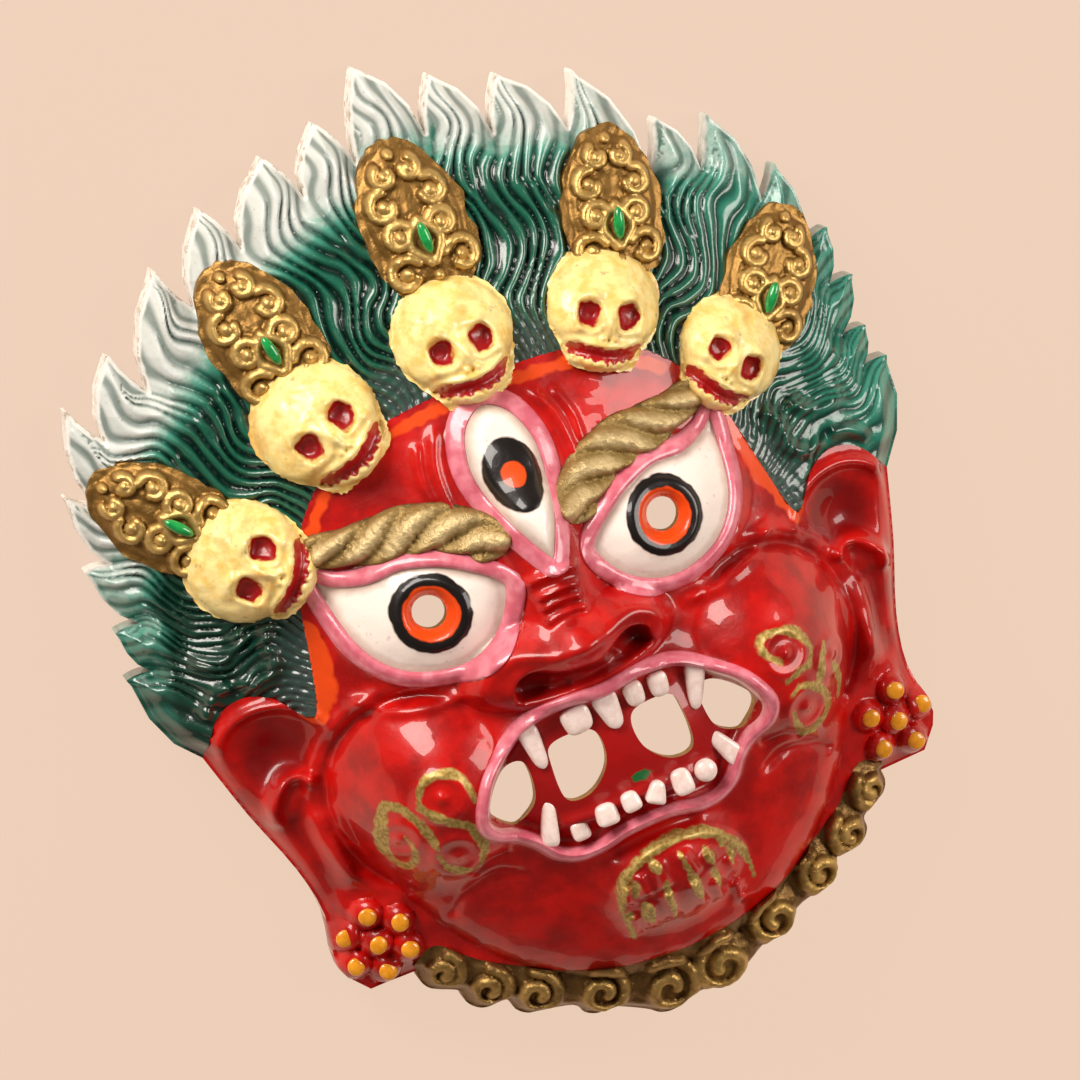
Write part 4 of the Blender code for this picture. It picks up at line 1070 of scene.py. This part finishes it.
FLAME_LINE = split(FLAMES, EDGE_SPACING)
HAIR_LINE = split(HAIR_CURVE, EDGE_SPACING)
EAR_LINE = split(EAR_CURVE, EDGE_SPACING)
LOBE_CURVE = curve(LOBES, 4)
LOBE_CURVE[:, 1] = np.maximum(LOBE_CURVE[:, 1], -LENGTH / 2)
LOBE_LINE = split(LOBE_CURVE, EDGE_SPACING)
COLLAR_LINE = COLLAR_CURVE.copy()
COLLAR_LINE[0], COLLAR_LINE[-1] = LOBES[-1], LOBES[0]
COLLAR_LINE = split(COLLAR_LINE, EDGE_SPACING)
MANE_LOOP = np.vstack([FLAME_LINE, HAIR_LINE[-2:0:-1]])
FACE_LOOP = np.vstack([HAIR_LINE, (EAR_LINE * (-1, 1))[1:-1], [EAR_CURVE[-1] * (-1, 1)],
                       COLLAR_LINE[::-1], EAR_LINE[:0:-1]])
COLLAR_LOOP = np.vstack([LOBE_LINE, COLLAR_LINE[1:-1]])

SCROLL_WIDTH, SCROLL_RISE, SCROLL_TURNS, COLLAR_FADE = 1.3, 1.9, 1.35, 2.2
SCROLL_LINES = []
for side in (-1, 1):
    for index, (x, y, radius) in enumerate(COLLAR_SCROLLS):
        y = min(y, -LENGTH / 2 + radius + 0.4) if index == 4 else y
        heading = math.degrees(math.atan2(y + LENGTH / 4, x))
        SCROLL_LINES.append(spiral((side * x, y), radius - 0.1, SCROLL_TURNS,
                                   90 - side * (90 - heading) + side * 150, side))


def collar_front(x, y):
    """A raised band at the face, and a cushion with a scroll on it in every lobe."""
    z = base_height(x, y)
    band, _ = along(x, y, COLLAR_LINE)
    z = z + 1.3 * ease((3.6 - band) / 1.2)
    for side in (-1, 1):
        for cx, cy, radius in COLLAR_SCROLLS:
            cushion = boss(egg(x, y, (side * cx, cy, radius + 1.4, radius + 1.4)), 3.0, 0.5)
            z = higher(z, base_height(x, y) + cushion, 0.8)
    z = z + strand_lines(x, y, SCROLL_LINES, SCROLL_WIDTH, SCROLL_RISE) + 0.22 * ripple(x, y, 3.0, 8)
    return edge_fade(x, y, z, COLLAR_FADE)


def collar_fields(x, y, z):
    low = base_height(x, y)
    # raised: height above the ground, which the bronze paint turns into painted highlight and painted
    # shade
    return {"raised": np.clip(0.1 + (z - low) / 5.5, 0.34, 1.0)}


# How white the flames are brushed, by their direction from the mane's middle in degrees
WHITE_BY_HEADING = ((0.0, 0.08), (30.0, 0.14), (45.0, 0.35), (60.0, 0.62), (90.0, 0.9), (108.0, 1.0),
                    (140.0, 1.0), (146.0, 0.85), (152.0, 0.5), (160.0, 0.2), (166.0, 0.04))


def mane_fields(x, y, z):
    _, strands, depth, roots = mane_forms(x, y)
    rim = ease(1.0 - along(x, y, FLAMES)[0] / 1.5)
    heading = np.degrees(np.arctan2(y - MANE_MIDDLE[1], x))
    white = np.interp(heading, *zip(*WHITE_BY_HEADING))
    pale = ease((9.0 + 13.0 * white - depth) / (3.0 + 10.0 * white)) * (0.15 + 0.85 * white)
    teal = ease((x - 10.0) / 50.0) * ease(1.0 - depth / 30.0)
    deep = ease((-30.0 - x) / 24.0) * ease((44.0 - y) / 26.0)
    return {"lock": strands, "pale": pale, "rim": rim * np.minimum(1.0, 0.2 + white), "teal": teal,
            "deep": deep, "dust": 1.0 - roots}


# The gold brush strokes on the cheeks and the chin, and the orange at the temples and the forehead
STROKES = [curve(points, 5) for points in (
    ((-28.2, -33.2), (-29.0, -27.8), (-33.2, -26.0), (-36.2, -27.6), (-37.2, -31.1), (-34.6, -34.3),
     (-30.7, -37.1), (-29.2, -40.5), (-29.4, -43.6), (-31.6, -46.7), (-35.8, -44.8), (-37.3, -41.1)),
    ((-41.4, -35.9), (-40.9, -38.9), (-41.4, -41.9), (-43.4, -42.0), (-45.0, -38.5), (-44.2, -32.3),
     (-42.8, -29.8), (-40.7, -30.1), (-38.8, -33.2), (-37.5, -37.0), (-36.9, -40.1)),
    ((32.0, -31.9), (30.4, -30.0), (29.6, -27.3), (31.4, -26.0), (34.6, -26.6), (37.1, -28.8),
     (38.5, -31.9), (37.4, -34.6), (34.6, -34.9), (31.9, -35.9)),
    ((32.1, -38.7), (33.6, -37.8), (36.3, -38.9), (38.7, -42.0), (38.7, -45.8), (35.8, -47.7),
     (32.7, -47.6), (31.5, -45.0), (31.6, -42.3)),
    ((41.5, -33.1), (40.0, -35.7), (38.3, -39.6)), ((42.4, -38.1), (43.0, -42.7), (41.9, -45.5)),
    ((-9.0, -71.8), (-9.9, -66.2), (-9.6, -61.5), (-7.3, -57.8), (-3.5, -55.4), (1.2, -54.5),
     (6.6, -55.1), (10.9, -57.6), (13.9, -61.7), (15.2, -66.4), (15.5, -70.0)),
    ((-6.6, -59.0), (-7.1, -62.3)), ((-9.0, -64.6), (-9.4, -67.4)), ((-6.2, -64.4), (-5.6, -69.1)),
    ((-2.7, -56.6), (-2.1, -58.8)), ((-1.6, -60.8), (-1.3, -69.7)), ((2.5, -56.6), (4.2, -67.4)),
    ((7.3, -58.8), (7.9, -61.7)), ((7.8, -62.7), (8.3, -67.6)), ((10.9, -58.1), (11.5, -60.5)),
    ((12.5, -60.4), (12.0, -64.8)),
)]
TEMPLES = [curve(points, 4, closed=True) for points in (
    ((38.8, 14.8), (43.4, 13.6), (44.4, 5.0), (46.4, -2.0), (50.0, -9.6), (47.2, -13.6), (44.6, -9.4),
     (43.6, -5.6), (41.6, -2.6), (41.6, 1.6), (40.2, 5.0), (39.6, 9.6)),
    ((-41.4, 4.0), (-44.8, 4.8), (-46.6, -3.0), (-50.0, -9.0), (-47.2, -13.4), (-43.2, -9.4),
     (-41.2, -3.0)),
)]
FOREHEAD_EDGE = curve(((-39.0, 13.0), (-34.0, 22.6), (-26.0, 28.6), (-14.0, 32.0), (0.0, 32.8),
                       (14.0, 31.8), (26.0, 28.4), (33.6, 23.0)), 4)


def face_fields(x, y, z):
    plain = edge_fade(x, y, smooth_face(x, y))
    gaps = [signed(x, y, loop) for loop in EYE_LOOPS + [THIRD_LOOP]]
    iris = np.minimum(*[np.hypot(x - side * EYE_PLACE[0], y - EYE_PLACE[1]) for side in (-1, 1)])
    stroke = np.full(len(x), 9.0)
    for path in STROKES:
        near = (np.abs(x - path[:, 0].mean()) < 24.0) & (np.abs(y - path[:, 1].mean()) < 24.0)
        gap, share = along(x[near], y[near], path)
        gap += 0.5 * (2 * share - 1) ** 4 - 0.3 * ripple(x[near], y[near], 9.0, 19)
        stroke[near] = np.minimum(stroke[near], gap)
    # fold: how deep the carving sinks below the smooth face, which the red enamel darkens as painted
    # shade
    return {"fold": np.clip(plain - z, 0.0, 3.0), "mouth": signed(x, y, LIP_LOOP),
            "eye": np.minimum.reduce(gaps), "iris": iris, "ball": (egg(x, y, THIRD_BALL) - 1.0) * 5.4,
            "third_dot": np.hypot(x - THIRD_BALL[0], y - THIRD_BALL[1]), "stroke": stroke,
            # lid: a band 1.6 mm inside each eye's edge, greyed on the eye white as painted shade under
            # the lid
            "lid": np.abs(np.minimum.reduce(gaps) + 1.6),
            "smear": np.hypot((x - 1.3) / 1.8, (y + 41.0) / 0.9),
            "temple": np.minimum.reduce([signed(x, y, loop) for loop in TEMPLES]
                                        + [along(x, y, FOREHEAD_EDGE)[0] - 1.0])}


def back_of(front):
    """The height of the skin behind a front."""
    return lambda x, y: back_height(x, y, front)


shell("mane", [MANE_LOOP], MANE_SPACING, mane_height, back_of(mane_height), [hair, brass], mane_fields)
shell("face", [FACE_LOOP] + holes(), FACE_SPACING, face_height, back_of(face_height), [red, brass],
      face_fields, hole_wall=1)
shell("collar", [COLLAR_LOOP], COLLAR_SPACING, collar_front, back_of(collar_front),
      [collar_gold, brass], collar_fields)


def under_ornament(x, y):
    """The sunk underside of a skull or a crest."""
    return smooth_face(x, y) - 1.0


for number, (x0, y0, lean, size) in enumerate(SKULLS, 1):
    def skull_local(x, y):
        a, b = local(x, y, (x0, y0), lean)
        return a / size, b / size

    draw = np.random.default_rng(number)
    ragged = [(a * (1 + 0.02 * draw.normal()), b * (1 + 0.02 * draw.normal())) for a, b in SKULL_LOOP]
    ragged = curve(ragged, 6, closed=True)
    ragged *= 1 + 0.012 * draw.normal(size=(len(ragged), 1))
    loop = np.array([placed(a * size, b * size, (x0, y0), lean) for a, b in ragged])

    def skull_fields(x, y, z):
        relief_z, dome, socket, grin = skull_relief(*skull_local(x, y))
        # hollow: how deep the carving sinks below the dome, turned to ochre painted shade
        return {"socket": socket, "grin": grin, "hollow": np.clip(dome - relief_z, 0.0, 2.0)}

    def skull_front(x, y):
        return smooth_face(x, y) + skull_relief(*skull_local(x, y))[0]

    shell("skull_%d" % number, [loop], SKULL_SPACING, skull_front, under_ornament, [skull_coat],
          skull_fields, SMALL_BACK_SPACING)

for number, (x0, y0, lean, size) in enumerate(CRESTS, 1):
    def crest_local(x, y):
        a, b = local(x, y, (x0, y0), lean)
        return a / size, b / size

    draw = np.random.default_rng(40 + number)
    ragged = [(a * (1 + 0.03 * draw.normal()), b * (1 + 0.02 * draw.normal()))
              for a, b in curve(CREST_LOOP, 3, closed=True)]
    loop = np.array([placed(a * size, b * size, (x0, y0), lean)
                     for a, b in curve(ragged, 2, closed=True)])

    def crest_fields(x, y, z):
        # raised: the scroll lines, given painted highlight by the bronze paint over a ground in painted
        # shade
        return {"raised": 0.3 + 0.45 * crest_relief(*crest_local(x, y))[1]}

    def crest_front(x, y):
        return smooth_face(x, y) + crest_relief(*crest_local(x, y))[0]

    shell("crest_%d" % number, [loop], CREST_SPACING, crest_front, under_ornament, [crest_gold],
          crest_fields, SMALL_BACK_SPACING)


def rounded_end(share, first, last):
    """1 along a brow, and a quarter circle down to 0 at each end."""
    return math.sqrt(1.0 - (1.0 - min(1.0, share / first, (1.0 - share) / last)) ** 2)


def brow_width(share):
    width = BROW_WIDTH - BROW_NARROWING * ease((share - 0.5) / 0.5)
    return width * rounded_end(share, 0.10, 0.05) + 0.2


def brow_height(share):
    return BROW_HEIGHT * rounded_end(share, 0.08, 0.05) ** 2


def brow_ground(x, y):
    """Where a brow lies; the unevenness makes it look sandy."""
    return smooth_face(x, y) + 0.16 * ripple(x, y, 1.9, 17) + 0.2 * ripple(x, y, 5.0, 18)


for side, name in ((-1, "brow_left"), (1, "brow_right")):
    laid_cord(name, spaced(curve(mirrored(BROW_PATH, side), 6), BROW_SPACING), brow_width, brow_height,
              brow_ground, brow_gold, sides=32, sink=2.0, layer="raised",
              twist=(-BROW_STRANDS * side, BROW_TURNS, BROW_GROOVE))
for name, loop, width, height, sides in (
        ("lid_left", EYE_LOOPS[0], LID_WIDTH, LID_HEIGHT, 12),
        ("lid_right", EYE_LOOPS[1], LID_WIDTH, LID_HEIGHT, 12),
        ("lid_third", THIRD_LOOP, THIRD_LID_WIDTH, THIRD_LID_HEIGHT, 12),
        ("lip", LIP_LOOP, LIP_WIDTH, LIP_HEIGHT, 14)):
    laid_cord(name, spaced(loop, CORD_SPACING, closed=True), width, height, face_height, pink,
              closed=True, sides=sides)


def tooth_blank(taper, round_off):
    """A block with rounded edges; its lower end is drawn in by the taper."""
    bpy.ops.object.select_all(action="DESELECT")
    bpy.ops.mesh.primitive_cube_add(size=2.0, location=(0.0, 0.0, 0.0))
    blank = bpy.context.object
    bpy.ops.object.mode_set(mode="EDIT")
    bpy.ops.mesh.select_all(action="DESELECT")
    bpy.ops.object.mode_set(mode="OBJECT")
    for vertex in blank.data.vertices:
        vertex.select = vertex.co.y < 0.0
    bpy.ops.object.mode_set(mode="EDIT")
    bpy.ops.transform.resize(value=(taper, 1.0, 0.8), center_override=(0.0, -1.0, 0.0))
    bpy.ops.mesh.select_all(action="SELECT")
    bpy.ops.mesh.bevel(offset=round_off, segments=3, affect="EDGES")
    bpy.ops.object.mode_set(mode="OBJECT")
    modifier = blank.modifiers.new("smooth", "SUBSURF")
    modifier.levels = modifier.render_levels = 2
    bpy.ops.object.modifier_apply(modifier=modifier.name)
    return blank


def bead(name, blank, place, size, turn, lies_on, material, proud):
    """A copy of the blank set into the surface. Size is width, length and thickness; proud is the share
    of the thickness by which its middle stands above the ground."""
    mesh = blank.data.copy()
    spots = np.empty(len(mesh.vertices) * 3, np.float32)
    mesh.vertices.foreach_get("co", spots)
    spots = spots.reshape(-1, 3).astype(float) * (size[0] / 2, size[1] / 2, size[2] / 2)
    x, y = placed(spots[:, 0], spots[:, 1], place, turn)
    ground = float(lies_on(np.array([place[0]]), np.array([place[1]]))[0])
    z = ground + spots[:, 2] + proud * size[2]
    mesh.vertices.foreach_set("co", (np.stack([x, y, z], 1) * MM).astype(np.float32).ravel())
    mesh.materials.clear()
    mesh.materials.append(material)
    mesh.shade_smooth()
    piece = bpy.data.objects.new(name, mesh)
    bpy.context.scene.collection.objects.link(piece)
    return owned(piece)


def drop_blank(point):
    """A dab of paint: round, and drawn out to a point at its upper end where wanted."""
    bpy.ops.object.select_all(action="DESELECT")
    bpy.ops.mesh.primitive_uv_sphere_add(segments=16, ring_count=8, radius=1.0,
                                         location=(0.0, 0.0, 0.0))
    blank = bpy.context.object
    for vertex in blank.data.vertices:
        vertex.select = vertex.co.y > 0.1
    bpy.ops.object.mode_set(mode="EDIT")
    bpy.ops.transform.resize(value=(point, 1.0, 0.9), center_override=(0.0, 0.0, 0.0))
    bpy.ops.object.mode_set(mode="OBJECT")
    modifier = blank.modifiers.new("smooth", "SUBSURF")
    modifier.levels = modifier.render_levels = 1
    bpy.ops.object.modifier_apply(modifier=modifier.name)
    return blank


peg, fang = tooth_blank(0.85, 0.6), tooth_blank(0.55, 0.5)
dab, drop = drop_blank(0.95), drop_blank(0.45)
# Each tooth's blank, place, width, length and turn
TEETH = (
    (peg, -5.8, -26.8, 6.0, 5.2, 4), (fang, 0.2, -27.4, 5.4, 7.4, 6), (peg, 5.4, -26.4, 4.0, 4.6, 0),
    (peg, 10.2, -26.8, 4.0, 4.6, -4), (fang, -14.4, -29.0, 4.4, 8.6, 4),
    (fang, 16.6, -30.2, 4.2, 9.0, -20), (fang, -16.6, -43.4, 3.8, 9.0, 162),
    (peg, -12.0, -46.8, 3.7, 3.9, 180), (peg, -6.9, -45.2, 4.6, 4.2, 176),
    (peg, -2.2, -44.4, 3.8, 3.8, 184), (fang, 2.8, -44.8, 4.2, 4.4, 150),
    (peg, 7.9, -45.2, 4.2, 5.0, 180), (dab, 12.8, -45.4, 4.7, 4.6, 190),
    (fang, 18.0, -43.4, 4.4, 8.4, 208),
)
for number, (blank, x, y, width, length, turn) in enumerate(TEETH, 1):
    bead("tooth_%02d" % number, blank, (x, y), (width, length, TOOTH_THICKNESS), turn, face_height,
         tooth_ivory, TOOTH_PROUD)


def gem_ground(x, y):
    return smooth_face(x, y) + GEM_GROUND


for number, (x0, y0, lean, _) in enumerate(CRESTS, 1):
    bead("gem_%d" % number, drop, placed(*GEM_PLACE, (x0, y0), lean), GEM_SIZE, lean, gem_ground,
         gem_green, GEM_PROUD)
for side, name in ((-1, "earring_left"), (1, "earring_right")):
    for number, place in enumerate(EARRINGS[side], 1):
        bead("%s_dot_%d" % (name, number), dab, place, DOT_SIZE, 50 * number, face_height, dot_yellow,
             DOT_PROUD)

for blank in (peg, fang, dab, drop):
    bpy.data.objects.remove(blank)

# The mask lies face up on a pale table; the camera looks down at it, the crown turned to the upper left
toward = Vector((-0.1143, 0.2020, 0.9727)).normalized()
right = Vector((0.9146, -0.3609, 0.1825))
right = (right - right.dot(toward) * toward).normalized()
top = toward.cross(right)
target = (Vector((0.0, 0.0, 20.0)) + 1.0 * right + 2.8 * top) * MM
CAMERA_DISTANCE, VIEW_WIDTH = 1100.0, 194.0
camera_data = bpy.data.cameras.new("camera")
camera_data.sensor_width, camera_data.sensor_height, camera_data.sensor_fit = 36.0, 36.0, "AUTO"
camera_data.lens = 36.0 * CAMERA_DISTANCE / VIEW_WIDTH
camera_data.clip_start = 0.01
camera = bpy.data.objects.new("camera", camera_data)
camera.matrix_world = Matrix((right, top, toward)).transposed().to_4x4()
camera.location = target + toward * CAMERA_DISTANCE * MM
bpy.context.scene.collection.objects.link(camera)
bpy.context.scene.camera = camera


def softbox(name, direction, distance, size, power, colour):
    """A square soft light that faces the mask; its direction is right, up and toward the camera."""
    data = bpy.data.lights.new(name, "AREA")
    data.shape, data.size, data.energy = "SQUARE", size * MM, power
    data.color = linear(colour)[:3]
    light = bpy.data.objects.new(name, data)
    way = (direction[0] * right + direction[1] * top + direction[2] * toward).normalized()
    light.location = target + way * distance * MM
    light.rotation_euler = way.to_track_quat("Z", "Y").to_euler()
    bpy.context.scene.collection.objects.link(light)
    return light


for name, direction, distance, size, power, colour, mirrored_in_paint in (
        ("key_softbox", (-0.8, 0.75, 0.9), 800.0, 420.0, 8.4, "#fff6ee", True),
        ("side_softbox", (1.0, 0.35, 0.6), 800.0, 420.0, 4.8, "#fff6ee", True),
        ("low_fill", (-0.2, -1.0, 0.8), 900.0, 500.0, 1.4, "#ffeee2", False)):
    softbox(name, direction, distance, size, power, colour).visible_glossy = mirrored_in_paint

floor_material, tree, shader = new_material("pale_peach_paper", 0.9)
shader.inputs["Base Color"].default_value = linear("#2e251f")
shader.inputs["Emission Color"].default_value = linear("#f0d2bb")
shader.inputs["Emission Strength"].default_value = 0.93
bpy.ops.object.select_all(action="DESELECT")
bpy.ops.mesh.primitive_plane_add(size=6.0, location=(0.0, 0.0, -0.0002))
floor = bpy.context.object
floor.name = "table"
floor.data.materials.append(floor_material)

world = bpy.data.worlds.new("soft_studio")
bpy.context.scene.world = world
world.use_nodes = True
world.node_tree.nodes["Background"].inputs["Color"].default_value = linear("#f6e2d2")
world.node_tree.nodes["Background"].inputs["Strength"].default_value = 0.16
bpy.context.scene.view_settings.view_transform = "Standard"
